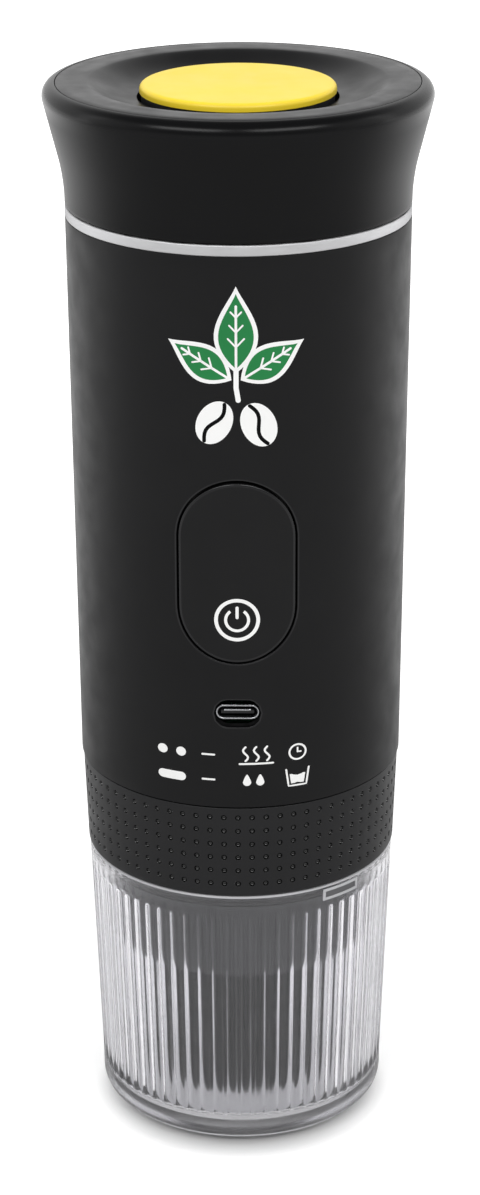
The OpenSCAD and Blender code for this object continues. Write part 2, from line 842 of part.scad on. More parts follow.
module pump_housing() {
    color("#d8d4c8") at_pump() difference() {
        disc(z_pump, z_motor, pump_r);
        disc(z_pump + pump_wall, z_motor + cut, pump_r - pump_wall);
    }
}

module motor_can() {
    color("#aeb1b5") at_pump() difference() {
        disc(z_motor, z_cap, motor_r);
        disc(z_motor + motor_cap_t, z_cap + cut, motor_r - motor_t);
        disc(z_motor - cut, z_motor + motor_cap_t + cut, shaft_r + fit_clear);
    }
}

module motor_cap() {
    color("#e6e3da") at_pump() difference() {
        union() {
            disc(z_cap, z_cap + motor_cap_t, motor_r);
            disc(z_cap - motor_cap_t, z_cap + cut, motor_r - motor_t - fit_clear);
        }
        disc(z_cap - motor_cap_t - cut, z_cap + motor_cap_t / 2, shaft_r + fit_clear);
    }
}

module motor_magnets() {
    out = motor_r - motor_t - fit_clear;
    color("#54565a") at_pump() difference() {
        ring(z_motor + motor_cap_t, z_cap - motor_cap_t, out, out - magnet_t);
        translate([-motor_r, -motor_r / 4, z_motor]) cube([2 * motor_r, motor_r / 2, motor_len]);
    }
}

module motor_rotor() {
    z0 = z_motor + 2 * motor_cap_t;
    z1 = z_cap - 3 * motor_cap_t;
    color("#b06a3a") at_pump() difference() {
        union() {
            disc(z_cam, z_cap, shaft_r);
            disc(z0, z1, armature_r);
            disc(z1 - cut, z_cap - motor_cap_t - free_clear, armature_r / 2);
        }
        around(pole_count, armature_r / 2) translate([0, -pole_slot / 2, z0 - cut])
            cube([armature_r, pole_slot, z1 - z0 + cut]);
    }
}

module drive_cam() {
    color("#e0ddd2") at_pump() difference() {
        translate([cam_offset, 0, 0]) disc(z_cam, z_cam + cam_h, cam_r);
        disc(z_cam - cut, z_cam + cam_h + cut, shaft_r + fit_clear);
    }
}

module inlet_hose() {
    color("#e9e6dc") at_hose()
        ring(z_lower + pump_cover_t, z_insulator, hose_r, hose_bore);
}

module outlet_tube() {
    color("#e9e6dc") at_pump() ring(z_inlet_boss, z_lower, hose_r, hose_bore);
}

// Heater and tank

module insulator_disc() {
    color("#e4dfd0") difference() {
        disc(z_insulator, z_heater, tank_r);
        at_hose() disc(z_insulator - cut, z_heater + cut, barb_r + free_clear);
        translate([-sensor_x, pump_y, 0])
            disc(z_insulator - cut, z_heater + cut, sensor_r + free_clear);
    }
}

module heater_plate() {
    color("#c2743d") difference() {
        disc(z_heater, z_tank, heater_r);
        at_hose() disc(z_heater - cut, z_tank + cut, barb_r + free_clear);
    }
}

module thermal_sensor() {
    color("#20242a") translate([-sensor_x, pump_y, 0])
        disc(z_heater - sensor_h, z_heater, sensor_r);
}

module water_tank() {
    color("#cfd2d6") difference() {
        union() {
            tank_space(z_tank, z_tank_rim, tank_t);
            disc(z_neck, z_tank_rim, tank_rim_r);
            at_hose() disc(z_upper - barb_h, z_tank + tank_t, barb_r);
        }
        tank_space(z_tank + tank_t, z_tank_rim + cut, 0);
        at_hose() disc(z_upper - barb_h - cut, z_tank + tank_t + cut, barb_bore);
    }
}

// The tank's inside, or its outside if it grows by the sheet, with the shoulder below the collar
module tank_space(z0, z1, grow) {
    z_shoulder = z_collar - free_clear;
    rotate_extrude() polygon([
        [0, z0], [tank_r + grow, z0], [tank_r + grow, z_shoulder - shoulder_h],
        [tank_neck_r + grow, z_shoulder], [tank_neck_r + grow, z1], [0, z1]]);
}

module neck_collar() {
    flange_edge = min(house_r(z_collar), house_r(z_lip)) - housing_wall - free_clear;
    color("#2b2d30") difference() {
        union() {
            disc(z_collar, z_neck, neck_out);
            disc(z_collar, z_lip, flange_edge);
        }
        disc(z_collar - cut, z_neck + cut, neck_in);
    }
}

// Outer shell and key

module housing() {
    color("#1e1f21") difference() {
        cone(z_body, z_house, housing_r_low, housing_r_high);
        intersection() {
            cone(z_body, z_house, housing_r_low - housing_wall, housing_r_high - housing_wall);
            disc(z_body - cut, z_lip, max(housing_r_low, housing_r_high));
        }
        disc(z_lip - cut, z_house + cut, neck_out + free_clear);
        front_bar(key_w + 2 * key_gap, key_h + 2 * key_gap, z_key,
            front_in, front_out);
        front_bar(port_w + 4 * fit_clear, port_h + 4 * fit_clear, z_port,
            front_in, front_out);
        front_bar(port_recess_w, port_recess_h, z_port, port_face, front_out);
    }
}

module trim_ring() {
    c = trim_chamfer;
    r_in = neck_out + free_clear;
    color("#c8cacd") rotate_extrude() polygon([
        [r_in, z_house], [housing_r_high - c, z_house], [housing_r_high, z_house + c],
        [housing_r_high, z_house + trim_h - c], [housing_r_high - c, z_house + trim_h],
        [r_in, z_house + trim_h]]);
}

module power_key() {
    color("#19191b") {
        intersection() {
            housing_layer(0, key_back);
            front_bar(key_w, key_h, z_key, front_in, front_out);
        }
        intersection() {
            housing_layer(housing_wall + fit_clear, key_lip_t);
            front_bar(key_w + 2 * key_lip, key_h + 2 * key_lip, z_key, front_in, front_out);
        }
    }
}

module switch_plunger() {
    color("#cfcfc8") translate([0, -plunger_front, z_sign]) rotate([-90, 0, 0])
        cylinder(h = plunger_front - board_face - switch_h / 2, r = plunger_r);
}

// Lid

module lid_gasket() {
    color("#8a2f22") ring(z_tank_rim, z_ceiling, tank_rim_r, tank_neck_r);
}

module lid_shell() {
    flare = [for (i = [0 : steps])
        let (h = flare_h * i / steps) [lid_r(h), z_lid + h]];
    edge = [for (i = [0 : steps])
        let (a = lerp(-flare_angle, 90, i / steps))
        [edge_r + lid_round * cos(a), z_lid + edge_z + lid_round * sin(a)]];
    inner = [for (i = [steps : -1 : 0])
        let (h = flare_h * i / steps) [lid_r(h) - lid_wall, z_lid + h]];
    under_z = ledge_z - cover_t;
    web_h = z_web - z_lid;
    color("#202123") difference() {
        rotate_extrude() polygon(concat(
            flare,
            edge,
            [[edge_r, z_lid + ledge_z], [edge_r - ledge_w, z_lid + ledge_z],
             [edge_r - ledge_w, z_lid + under_z],
             [lid_r(under_z) - lid_wall, z_lid + under_z],
             [lid_r(web_h + web_t) - lid_wall, z_web + web_t],
             [well_r + well_wall + free_clear, z_web + web_t],
             [well_r + well_wall + free_clear, z_web],
             [lid_r(web_h) - lid_wall, z_web]],
            inner));
        around(lid_screw_count, lid_screw_ring, lid_screw_turn)
            disc(z_web - cut, z_web + web_t + cut, lid_screw_r / 2 + fit_clear);
    }
}

module lid_cover() {
    z_dish = z_lid_top - dish_depth;
    dish = [for (i = [0 : 2 * steps])
        let (t = i / (2 * steps))
        [lerp(dish_r, well_r, t), lerp(z_lid_top, z_dish, (1 - cos(180 * t)) / 2)]];
    under_r = min(dish_r + cover_t, edge_r - ledge_w - free_clear);
    under = [for (i = [2 * steps : -1 : 0])
        let (t = i / (2 * steps))
        [lerp(under_r, well_r + well_wall, t),
         lerp(z_lid_top, z_dish, (1 - cos(180 * t)) / 2) - cover_t]];
    color("#2a2b2d") difference() {
        rotate_extrude() polygon(concat(
            [[cover_r, z_lid_top]],
            dish,
            [[well_r, z_well], [0, z_well], [0, z_web], [well_r + well_wall, z_web]],
            under,
            [[cover_r, z_lid_top - cover_t]]));
        disc(z_web - cut, z_well + cut, stem_r + fit_clear);
        around(steam_count, steam_ring_r) disc(z_web - cut, z_well + cut, steam_hole_r);
    }
}

module lid_liner() {
    color("#d9d6cc") difference() {
        disc(z_lid + free_clear, z_web, liner_out);
        disc(z_lid - cut, z_ceiling, liner_in);
        disc(z_ceiling - cut, z_web + cut, steam_r);
        around(lid_screw_count, lid_screw_ring, lid_screw_turn)
            disc(z_ceiling + fit_clear, z_web + cut, lid_screw_r / 2 + fit_clear);
    }
}

module lid_screws() {
    z_head_under = z_web + web_t;
    color("#9a9da1") around(lid_screw_count, lid_screw_ring, lid_screw_turn) {
        disc(z_head_under, z_head_under + lid_screw_h, lid_screw_r);
        disc(z_ceiling + 2 * fit_clear, z_head_under, lid_screw_r / 2);
    }
}

// Vent

module vent_button() {
    z_skirt = z_well + vent_travel + free_clear;
    boss_r = stem_r + button_wall;
    z_under = z_button - button_t;
    edge = [for (i = [0 : steps])
        let (a = 90 * i / steps)
        [button_r - button_round + button_round * cos(a),
         z_button - button_round + button_round * sin(a)]];
    color("#f2c21a") rotate_extrude() polygon(concat(
        [[button_r - button_wall, z_skirt], [button_r, z_skirt]],
        edge,
        [[0, z_button], [0, z_under], [stem_r + fit_clear, z_under],
         [stem_r + fit_clear, z_skirt], [boss_r, z_skirt], [boss_r, z_under],
         [button_r - button_wall, z_under]]));
}

module vent_stem() {
    color("#b9bcc0") disc(z_ceiling - valve_t / 2, z_button - button_t, stem_r);
}

module vent_valve() {
    color("#3a3a3c") difference() {
        disc(z_ceiling - valve_t, z_ceiling, valve_r);
        disc(z_ceiling - valve_t / 2, z_ceiling + cut, stem_r + fit_clear);
    }
}

// A round wire along a rising helix, with flat ends, as one closed surface
wire_sides = 6;
rings_per_turn = 8;
spring_z0 = z_well + wire_r;
spring_z1 = z_button - button_t - wire_r;
spring_rise = spring_z1 - spring_z0;
ring_count = spring_turns * rings_per_turn;
function helix(t) = [
    spring_r * cos(360 * spring_turns * t),
    spring_r * sin(360 * spring_turns * t),
    spring_z0 + spring_rise * t];
function wire_point(t, k) =
    let (a = 360 * spring_turns * t, b = 360 * k / wire_sides)
    helix(t) + wire_r * [cos(b) * cos(a), cos(b) * sin(a), sin(b)];
spring_gap = spring_rise / spring_turns - 2 * wire_r;
echo(spring_gap = spring_gap);

module vent_spring() {
    points = [for (i = [0 : ring_count], k = [0 : wire_sides - 1]) wire_point(i / ring_count, k)];
    sides = [for (i = [0 : ring_count - 1], k = [0 : wire_sides - 1])
        let (a = i * wire_sides + k, b = i * wire_sides + (k + 1) % wire_sides)
        each [[a, a + wire_sides, b], [b, a + wire_sides, b + wire_sides]]];
    first = [for (k = [1 : wire_sides - 2]) [0, k, k + 1]];
    base = ring_count * wire_sides;
    last = [for (k = [1 : wire_sides - 2]) [base, base + k + 1, base + k]];
    color("#c4c7cb") polyhedron(points, concat(sides, first, last));
}

cup();
holder_body();
grip_sleeve();
spout();
cup_seal();
coffee_basket();
filter_plate();
brew_gasket();
brew_head();
shower_screen();
shower_screw();
head_screws();
lower_frame();
upper_frame();
battery_cell_right();
battery_cell_rear();
battery_cell_left();
main_board();
tact_switch();
status_led();
usb_shell();
usb_tongue();
pump_cover();
pump_diaphragm();
pump_housing();
motor_can();
motor_cap();
motor_magnets();
inlet_hose();
outlet_tube();
insulator_disc();
heater_plate();
thermal_sensor();
water_tank();
neck_collar();
housing();
trim_ring();
power_key();
switch_plunger();
motor_rotor();
drive_cam();
lid_gasket();
lid_shell();
lid_cover();
lid_liner();
lid_screws();
vent_spring();
vent_button();
vent_stem();
vent_valve();
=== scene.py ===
"""Looks of a portable coffee machine: its pieces, their finishes and a plain studio around it."""

import json
import logging
import math
from dataclasses import dataclass, field
from enum import Enum, unique
from typing import Iterable, Optional, Self, Sequence

import bmesh
import bpy
from mathutils import Matrix, Vector


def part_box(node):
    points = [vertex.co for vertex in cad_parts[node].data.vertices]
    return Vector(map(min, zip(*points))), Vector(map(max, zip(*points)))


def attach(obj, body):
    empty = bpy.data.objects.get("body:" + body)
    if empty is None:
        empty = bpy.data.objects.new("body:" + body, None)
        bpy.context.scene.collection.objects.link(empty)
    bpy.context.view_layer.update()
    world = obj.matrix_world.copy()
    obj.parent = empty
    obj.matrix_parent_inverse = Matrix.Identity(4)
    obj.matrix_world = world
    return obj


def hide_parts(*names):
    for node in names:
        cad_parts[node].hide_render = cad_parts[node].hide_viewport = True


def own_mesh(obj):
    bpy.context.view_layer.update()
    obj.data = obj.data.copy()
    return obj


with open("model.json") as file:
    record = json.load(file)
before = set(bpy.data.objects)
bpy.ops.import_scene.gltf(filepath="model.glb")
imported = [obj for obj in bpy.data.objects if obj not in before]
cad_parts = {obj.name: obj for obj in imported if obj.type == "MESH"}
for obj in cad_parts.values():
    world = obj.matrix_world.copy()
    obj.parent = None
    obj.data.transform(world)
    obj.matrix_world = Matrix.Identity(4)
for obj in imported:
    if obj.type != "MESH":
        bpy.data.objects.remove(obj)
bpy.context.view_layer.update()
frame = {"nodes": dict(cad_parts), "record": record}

MM = 0.001
LOG = logging.getLogger("coffee_machine")
FINISH = "finish_"

Point = tuple[float, float, float]
Flat = tuple[float, float]
Colour = tuple[float, float, float]
Socket = bpy.types.NodeSocket
Piece = bpy.types.Object

WHITE = (1, 1, 1, 1)
# Range that most of a noise's values lie in
NOISE_SPAN = (0.3, 0.7)
# Inset and depth of the steps round a soft edge
ROUNDED_EDGE = ((0.32, 0.0), (0.14, 0.025), (0.04, 0.1), (0.0, 0.24))
# Angles in degrees above which edges stay crisp
CREASE, RIB_CREASE, SHELL_CREASE, TRIM_CREASE, FLUTE_CREASE = 40.0, 30.0, 35.0, 50.0, 60.0
# Points closer than the first become one and edges shorter than the second go, in metres
WELD, SLIVER = 2e-6, 1e-7
# Offset that counts as none
TINY = 1e-9


def lerp(a: float, b: float, share: float) -> float:
    """Value at a share of the way from a to b."""
    return a + (b - a) * share


def arc(middle: Flat, radius: float, start: float, end: float, steps: int) -> list[Flat]:
    """Points along a round edge.

    Args:
        middle: Middle of the arc.
        radius: Radius of the arc.
        start: First direction in degrees.
        end: Last direction in degrees.
        steps: Number of straight pieces.

    Returns:
        The points from the first direction to the last.
    """
    turns = [math.radians(lerp(start, end, i / steps)) for i in range(steps + 1)]
    return [(middle[0] + radius * math.cos(a), middle[1] + radius * math.sin(a)) for a in turns]


def circle(count: int) -> list[Flat]:
    """Points spread evenly round a circle of radius 1."""
    return arc((0.0, 0.0), 1.0, 0.0, 360.0, count)[:-1]


def polar(radius: float, turn: float, height: float) -> Point:
    """Point at a radius and height, turned in degrees from the front towards the right."""
    angle = math.radians(turn)
    return radius * math.sin(angle), -radius * math.cos(angle), height


def turned(points: Iterable[Flat], lean: float, x: float, z: float) -> list[Flat]:
    """Flat points turned clockwise in degrees and moved."""
    c, s = math.cos(math.radians(lean)), math.sin(math.radians(lean))
    return [(x + a * c + b * s, z - a * s + b * c) for a, b in points]


def shade(colour: Colour, factor: float) -> Colour:
    """The colour made darker or lighter by a factor."""
    return tuple(min(1.0, c * factor) for c in colour)


# Finishes


class Sums:
    """The nodes of one tree, and small sums with them."""

    def __init__(self, tree: bpy.types.NodeTree) -> None:
        """Empties a tree and works in it."""
        self.tree = tree
        tree.nodes.clear()

    def plug(self, value: object, target: Socket) -> None:
        """Links a socket to an input, or sets a value on it.

        Args:
            value: A socket, number or colour.
            target: The input.
        """
        if isinstance(value, Socket):
            self.tree.links.new(value, target)
        else:
            target.default_value = value

    def feed(self, node: bpy.types.Node, **values: object) -> None:
        """Feeds inputs by their names, with underscores for spaces."""
        for key, value in values.items():
            self.plug(value, node.inputs[key.replace("_", " ")])

    def add(self, kind: str, **values: object) -> bpy.types.Node:
        """Adds a node.

        Args:
            kind: Kind of node, without the prefix that all of them share.
            values: Values or sockets for its inputs.

        Returns:
            The new node.
        """
        node = self.tree.nodes.new("ShaderNode" + kind)
        self.feed(node, **values)
        return node

    def join(self, operation: str, one: Socket | float, two: Socket | float) -> Socket:
        """Joins two values.

        Args:
            operation: What is done with them.
            one: First value.
            two: Second value.

        Returns:
            The socket with the result.
        """
        node = self.add("Math")
        node.operation = operation
        for target, value in zip(node.inputs, (one, two)):
            self.plug(value, target)
        return node.outputs[0]

    def distance(self, source: Socket, point: Point) -> Socket:
        """Measures how far a place is from a point.

        Args:
            source: Socket of the place.
            point: The point in metres.

        Returns:
            The socket with the distance.
        """
        node = self.add("VectorMath")
        node.operation = "DISTANCE"
        for target, value in zip(node.inputs, (source, point)):
            self.plug(value, target)
        return node.outputs["Value"]

    def axis(self, source: Socket, name: str) -> Socket:
        """Takes one axis of a vector."""
        return self.add("SeparateXYZ", Vector=source).outputs[name]

    def span(self, source: Socket, given: Flat, wanted: Flat) -> Socket:
        """Maps a value from a given range onto a wanted one.

        Args:
            source: Socket of the value.
            given: Range that it comes in.
            wanted: Range that it is mapped onto.

        Returns:
            The socket with the result.
        """
        node = self.add("MapRange", Value=source, From_Min=given[0], From_Max=given[1],
                        To_Min=wanted[0], To_Max=wanted[1])
        return node.outputs["Result"]


class Paint(Sums):
    """A material, with the shader that every finish ends in."""

    def __init__(self, name: str) -> None:
        """Makes a material with an untouched shader.

        Args:
            name: Name of the finish.
        """
        self.material = bpy.data.materials.new(FINISH + name)
        self.material.use_nodes = True
        super().__init__(self.material.node_tree)
        self.shader = self.add("BsdfPrincipled")
        self.add("OutputMaterial", Surface=self.shader.outputs["BSDF"])
        self.place = self.add("TexCoord").outputs["Object"]

    def set(self, **values: object) -> None:
        """Sets or links inputs of the shader."""
        self.feed(self.shader, **values)

    def noise(self, size: float, detail: float = 3.0, stretch: Point = (1, 1, 1)) -> Socket:
        """Adds a noise in space.

        Args:
            size: Size of its grains in millimetres.
            detail: How many finer layers it has.
            stretch: How much denser it is along each axis.

        Returns:
            The socket with its strength.
        """
        place = self.add("Mapping", Vector=self.place, Scale=stretch).outputs["Vector"]
        scale = 1 / (size * MM)
        return self.add("TexNoise", Vector=place, Scale=scale, Detail=detail).outputs["Fac"]

    def spread(self, noise: Socket, low: float, high: float) -> Socket:
        """Maps a noise onto a range of values."""
        return self.span(noise, NOISE_SPAN, (low, high))

    def mottle(self, noise: Socket, dark: Colour, light: Colour) -> Socket:
        """Makes a colour that varies with a noise.

        Args:
            noise: Socket of the noise.
            dark: Colour where it is weak.
            light: Colour where it is strong.

        Returns:
            The socket with the colour.
        """
        ramp = self.add("ValToRGB", Fac=noise)
        for stop, place, colour in zip(ramp.color_ramp.elements, NOISE_SPAN, (dark, light)):
            stop.position = place
            stop.color = (*colour, 1)
        return ramp.outputs["Color"]

    def bump(self, noise: Socket, depth: float) -> Socket:
        """Raises the surface by a noise, to a depth in millimetres."""
        return self.add("Bump", Height=noise, Strength=1.0, Distance=depth * MM).outputs["Normal"]


class Recipe:
    """A finish, whose kinds say how a material is filled."""

    def fill(self, paint: Paint) -> None:
        """Sets the material's nodes."""
        raise NotImplementedError

    def build(self, name: str) -> bpy.types.Material:
        """Makes the material.

        Args:
            name: Name of the finish.

        Returns:
            The material with its nodes.
        """
        paint = Paint(name)
        self.fill(paint)
        return paint.material


@dataclass(frozen=True)
class Moulded(Recipe):
    """Moulded plastic, rubber or card with a fine grain and slightly uneven gloss."""

    colour: Colour
    roughness: float = 0.45
    specular: float = 0.5
    grain: float = 0.25
    depth: float = 0.004
    uneven: float = 0.05
    mottled: float = 0.06
    polish: Optional[Point] = None
    cloud: float = 14.0
    patch: float = 6.0
    layers: float = 2.0

    def fill(self, paint: Paint) -> None:
        """Sets the material's nodes.

        Args:
            paint: The material.
        """
        tones = (1 - self.mottled, 1 + self.mottled)
        dark, light = (shade(self.colour, tone) for tone in tones)
        colour = paint.mottle(paint.noise(self.cloud), dark, light)
        if self.polish:
            low, high, fine = self.polish
            heights = (low * MM, high * MM)
            gloss = paint.span(paint.axis(paint.place, "Z"), heights, (self.roughness, fine))
        else:
            low, high = self.roughness - self.uneven, self.roughness + self.uneven
            gloss = paint.spread(paint.noise(self.patch), low, high)
        grain = paint.bump(paint.noise(self.grain, self.layers), self.depth)
        paint.set(Base_Color=colour, Roughness=gloss, Normal=grain,
                  Specular_IOR_Level=self.specular)


@dataclass(frozen=True)
class Clear(Recipe):
    """Clear plastic with a smoky tint and a slight haze."""

    tint: Colour
    clarity: float = 0.95
    roughness: float = 0.05
    index: float = 1.49
    haze: float = 9.0
    haze_span: Flat = (0.6, 1.4)
    ripple: float = 2.5
    ripple_depth: float = 0.002

    def fill(self, paint: Paint) -> None:
        """Sets the material's nodes.

        Args:
            paint: The material.
        """
        low, high = (self.roughness * factor for factor in self.haze_span)
        paint.set(Base_Color=(*self.tint, 1), IOR=self.index, Transmission_Weight=self.clarity,
                  Roughness=paint.spread(paint.noise(self.haze), low, high),
                  Normal=paint.bump(paint.noise(self.ripple, 1.0), self.ripple_depth))


@dataclass(frozen=True)
class Metal(Recipe):
    """Bare metal with fine brush lines."""

    colour: Colour
    roughness: float = 0.25
    brushed: Point = (1, 1, 40)
    lines: float = 4.0
    edge: Colour = (1.0, 1.0, 1.0)
    tone_span: Flat = (0.93, 1.05)
    gloss_span: Flat = (0.75, 1.3)
    depth: float = 0.0012

    def fill(self, paint: Paint) -> None:
        """Sets the material's nodes.

        Args:
            paint: The material.
        """
        lines = paint.noise(self.lines, stretch=self.brushed)
        dark, light = (shade(self.colour, factor) for factor in self.tone_span)
        low, high = (self.roughness * factor for factor in self.gloss_span)
        paint.set(Metallic=1.0, Specular_Tint=(*self.edge, 1),
                  Base_Color=paint.mottle(lines, dark, light),
                  Roughness=paint.spread(lines, low, high), Normal=paint.bump(lines, self.depth))


@dataclass(frozen=True)
class Board(Recipe):
    """Circuit board with darker tracks under its lacquer."""

    base: Colour
    track: Colour
    width: float = 3.0
    stretch: Point = (1, 1, 3)
    gloss: Flat = (0.25, 0.4)
    depth: float = 0.03

    def fill(self, paint: Paint) -> None:
        """Sets the material's nodes.

        Args:
            paint: The material.
        """
        tracks = paint.noise(self.width, 0.0, self.stretch)
        paint.set(Specular_IOR_Level=0.5, Base_Color=paint.mottle(tracks, self.track, self.base),
                  Roughness=paint.spread(tracks, *self.gloss),
                  Normal=paint.bump(tracks, self.depth))


class Finish(Enum):
    """Finishes by their names."""

    def material(self) -> bpy.types.Material:
        """The finish's material, made on first use."""
        return bpy.data.materials.get(FINISH + self.name) or self.value.build(self.name)


@unique
class Slot(Finish):
    """Slots of the record, with the finish of each."""

    smoky_clear = Clear((0.86, 0.856, 0.885), 0.98, 0.18)
    holder_black = Moulded((0.022, 0.022, 0.024), 0.42, 0.35)
    grip_black = Moulded((0.014, 0.014, 0.015), 0.45, 0.3, 0.2, 0.006)
    housing_black = Moulded((0.0085, 0.0085, 0.009), 0.46, 0.2, 0.22, 0.005)
    key_black = Moulded((0.009, 0.009, 0.0095), 0.44, 0.22, 0.2, 0.003)
    lid_black = Moulded((0.0042, 0.0042, 0.0046), 0.4, 0.17, 0.22, 0.004,
                        polish=(219.0, 223.0, 0.24))
    # The ring's near-black edge tint darkens its ends, where it is seen at a slant: a painted
    # shade
    silver_trim = Metal((0.82, 0.82, 0.83), 0.6, (1, 1, 30), 5.0, (0.1, 0.1, 0.105))
    vent_yellow = Moulded((0.93, 0.69, 0.03), 0.38, 0.5, 0.3, 0.004, 0.04, 0.02)
    steel = Metal((0.62, 0.63, 0.65), 0.28, (1, 1, 30), 4.0)
    dark_rubber = Moulded((0.025, 0.025, 0.026), 0.7, 0.3, 0.3, 0.01)
    red_silicone = Moulded((0.33, 0.05, 0.035), 0.55, 0.35, 0.4, 0.006)
    frame_grey = Moulded((0.09, 0.095, 0.1), 0.55, 0.4, 0.3, 0.008)
    cell_wrap = Moulded((0.1, 0.23, 0.4), 0.25, 0.5, 4.0, 0.01)
    board_green = Board((0.02, 0.12, 0.05), (0.012, 0.075, 0.032))
    part_black = Moulded((0.012, 0.012, 0.013), 0.4, 0.4)
    led_white = Moulded((0.82, 0.83, 0.79), 0.3, 0.5, 0.4, 0.003)
    natural_nylon = Moulded((0.64, 0.62, 0.56), 0.5, 0.4, 0.3, 0.006)
    magnet_grey = Moulded((0.1, 0.1, 0.11), 0.6, 0.4, 0.5, 0.02)
    copper = Metal((0.72, 0.36, 0.2), 0.3, (20, 20, 1), 3.0)
    hose_milky = Moulded((0.74, 0.73, 0.69), 0.4, 0.4, 0.6, 0.004)
    insulator = Moulded((0.7, 0.66, 0.54), 0.8, 0.2, 0.5, 0.02)


@unique
class Print(Finish):
    """Inks, small trims and painted light and shade that have no slot of their own."""

    white_ink = Moulded((0.95, 0.95, 0.94), 0.5, 0.3, 0.15, 0.003, 0.04, 0.03)
    green_ink = Moulded((0.014, 0.22, 0.058), 0.5, 0.3, 0.15, 0.003, 0.04, 0.05)
    # Black ink for printed lines, also used as painted shade inside the housing's openings
    black_ink = Moulded((0.003, 0.003, 0.0033), 0.6, 0.1, 0.15, 0.003)
    # Pale frosted finish on the cup's rim and latch frames; its light tone paints the bright line
    # along the rim and the highlights on the frames
    frosted_clear = Moulded((0.52, 0.52, 0.54), 0.3, 0.5, 0.3, 0.003)
    # Lighter and darker copies of the holder's black: the pod's paints light on it, the spout's
    # paints shade under the pod
    pod_black = Moulded((0.04, 0.04, 0.042), 0.42, 0.35)
    spout_black = Moulded((0.004, 0.004, 0.0043), 0.5, 0.15)
    latch_grey = Moulded((0.12, 0.12, 0.125), 0.4, 0.4)
    cover_black = Moulded((0.0075, 0.0075, 0.008), 0.34, 0.37, 0.22, 0.004)
    # Pits of the grip: darker than the band, a painted shade, and glossier so that the lamps glint
    # in them
    pit_black = Moulded((0.003, 0.003, 0.0033), 0.17, 0.8, 0.2, 0.002, 0.03)
    # Glossier finish on the rounded edges round the key and the openings, slightly lighter than
    # the housing: a painted highlight
    edge_black = Moulded((0.012, 0.012, 0.013), 0.28, 0.42, 0.2, 0.002)


# Shapes that the pieces are drawn from


class Draft:
    """Points and faces of one piece, in millimetres, before they become a mesh."""

    def __init__(self) -> None:
        """Starts with nothing drawn."""
        self.points: list[Point] = []
        self.faces: list[tuple[int, ...]] = []
        self.coats: list[int] = []

    def row(self, points: Iterable[Point]) -> list[int]:
        """Adds points.

        Args:
            points: The points.

        Returns:
            Their numbers.
        """
        start = len(self.points)
        self.points.extend(points)
        return list(range(start, len(self.points)))

    def face(self, numbers: Sequence[int], coat: int = 0) -> None:
        """Adds one face, painted with one of the piece's finishes."""
        self.faces.append(tuple(numbers))
        self.coats.append(coat)

    def bridge(self, low: Sequence[int], high: Sequence[int], closed: bool = True,
               coat: int = 0) -> None:
        """Joins two rows of as many points by quads.

        Args:
            low: Numbers of the first row.
            high: Numbers of the second row.
            closed: Whether the rows run all the way round.
            coat: Which of the piece's finishes the faces take.
        """
        count = len(low)
        for i in range(count if closed else count - 1):
            j = (i + 1) % count
            self.face((low[i], low[j], high[j], high[i]), coat)

    def wrap(self, rows: Sequence[Sequence[int]], closed: bool = True, coat: int = 0) -> None:
        """Joins each row to the next one by quads."""
        for low, high in zip(rows, rows[1:]):
            self.bridge(low, high, closed, coat)

    def bar(self, rows: Sequence[Sequence[int]]) -> None:
        """Joins rows to a bar with a face at each end.

        Args:
            rows: Numbers of the points, row by row.
        """
        self.wrap(rows)
        for end in (rows[0], rows[-1]):
            self.face(end)

    def fan(self, row: Sequence[int], tip: Point, coat: int = 0) -> None:
        """Joins a closed row to one point by triangles.

        Args:
            row: Numbers of the row.
            tip: The point.
            coat: Which of the piece's finishes the faces take.
        """
        number = self.row([tip])[0]
        for one, two in zip(row, [*row[1:], row[0]]):
            self.face((one, two, number), coat)

    def lathe(self, outline: Sequence[Flat], columns: int, closed: bool = True,
              coat: int = 0) -> Self:
        """Turns an outline of radius and height about the machine's axis.

        Args:
            outline: Radius and height of each point; a first or last radius of 0 makes a tip.
            columns: Number of points round the axis.
            closed: Whether the last point joins the first.
            coat: Which of the piece's finishes the faces take.

        Returns:
            The draft itself.
        """
        turns = [360 * i / columns for i in range(columns)]
        rows = [self.row(polar(r, a, z) for a in turns) for r, z in outline if r]
        self.wrap(rows + rows[:1] if closed else rows, True, coat)
        for (radius, height), row in ((outline[0], rows[0]), (outline[-1], rows[-1])):
            if not radius:
                self.fan(row, (0.0, 0.0, height), coat)
        return self

    def piece(self, name: str, body: str, slot: Slot, coats: Sequence[Finish] = (),
              sharp: float = CREASE, stands_for: str = "") -> Piece:
        """Makes the drawn faces a piece that rides on a body.

        Args:
            name: Name of the piece.
            body: Body that it moves with.
            slot: Slot of the record that its finish belongs to.
            coats: Finishes in the order of the faces' coats, if not the slot's alone.
            sharp: Edges with more than this angle stay crisp, in degrees.
            stands_for: Name of the node that it is shown instead of.

        Returns:
            The new object.
        """
        mesh = bpy.data.meshes.new(name)
        mesh.from_pydata([(x * MM, y * MM, z * MM) for x, y, z in self.points], [], self.faces)
        for finish in coats or (slot,):
            mesh.materials.append(finish.material())
        mesh.polygons.foreach_set("material_index", self.coats)
        shell = bmesh.new()
        shell.from_mesh(mesh)
        bmesh.ops.remove_doubles(shell, verts=shell.verts, dist=WELD)
        bmesh.ops.dissolve_degenerate(shell, edges=shell.edges, dist=SLIVER)
        bmesh.ops.recalc_face_normals(shell, faces=shell.faces)
        shell.to_mesh(mesh)
        shell.free()
        mesh.polygons.foreach_set("use_smooth", [True] * len(mesh.polygons))
        mesh.set_sharp_from_angle(angle=math.radians(sharp))
        obj = bpy.data.objects.new(name, mesh)
        bpy.context.scene.collection.objects.link(obj)
        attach(obj, body)
        if stands_for:
            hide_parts(stands_for)
        LOG.info("%s: %d faces on %s", name, len(mesh.polygons), body)
        return obj


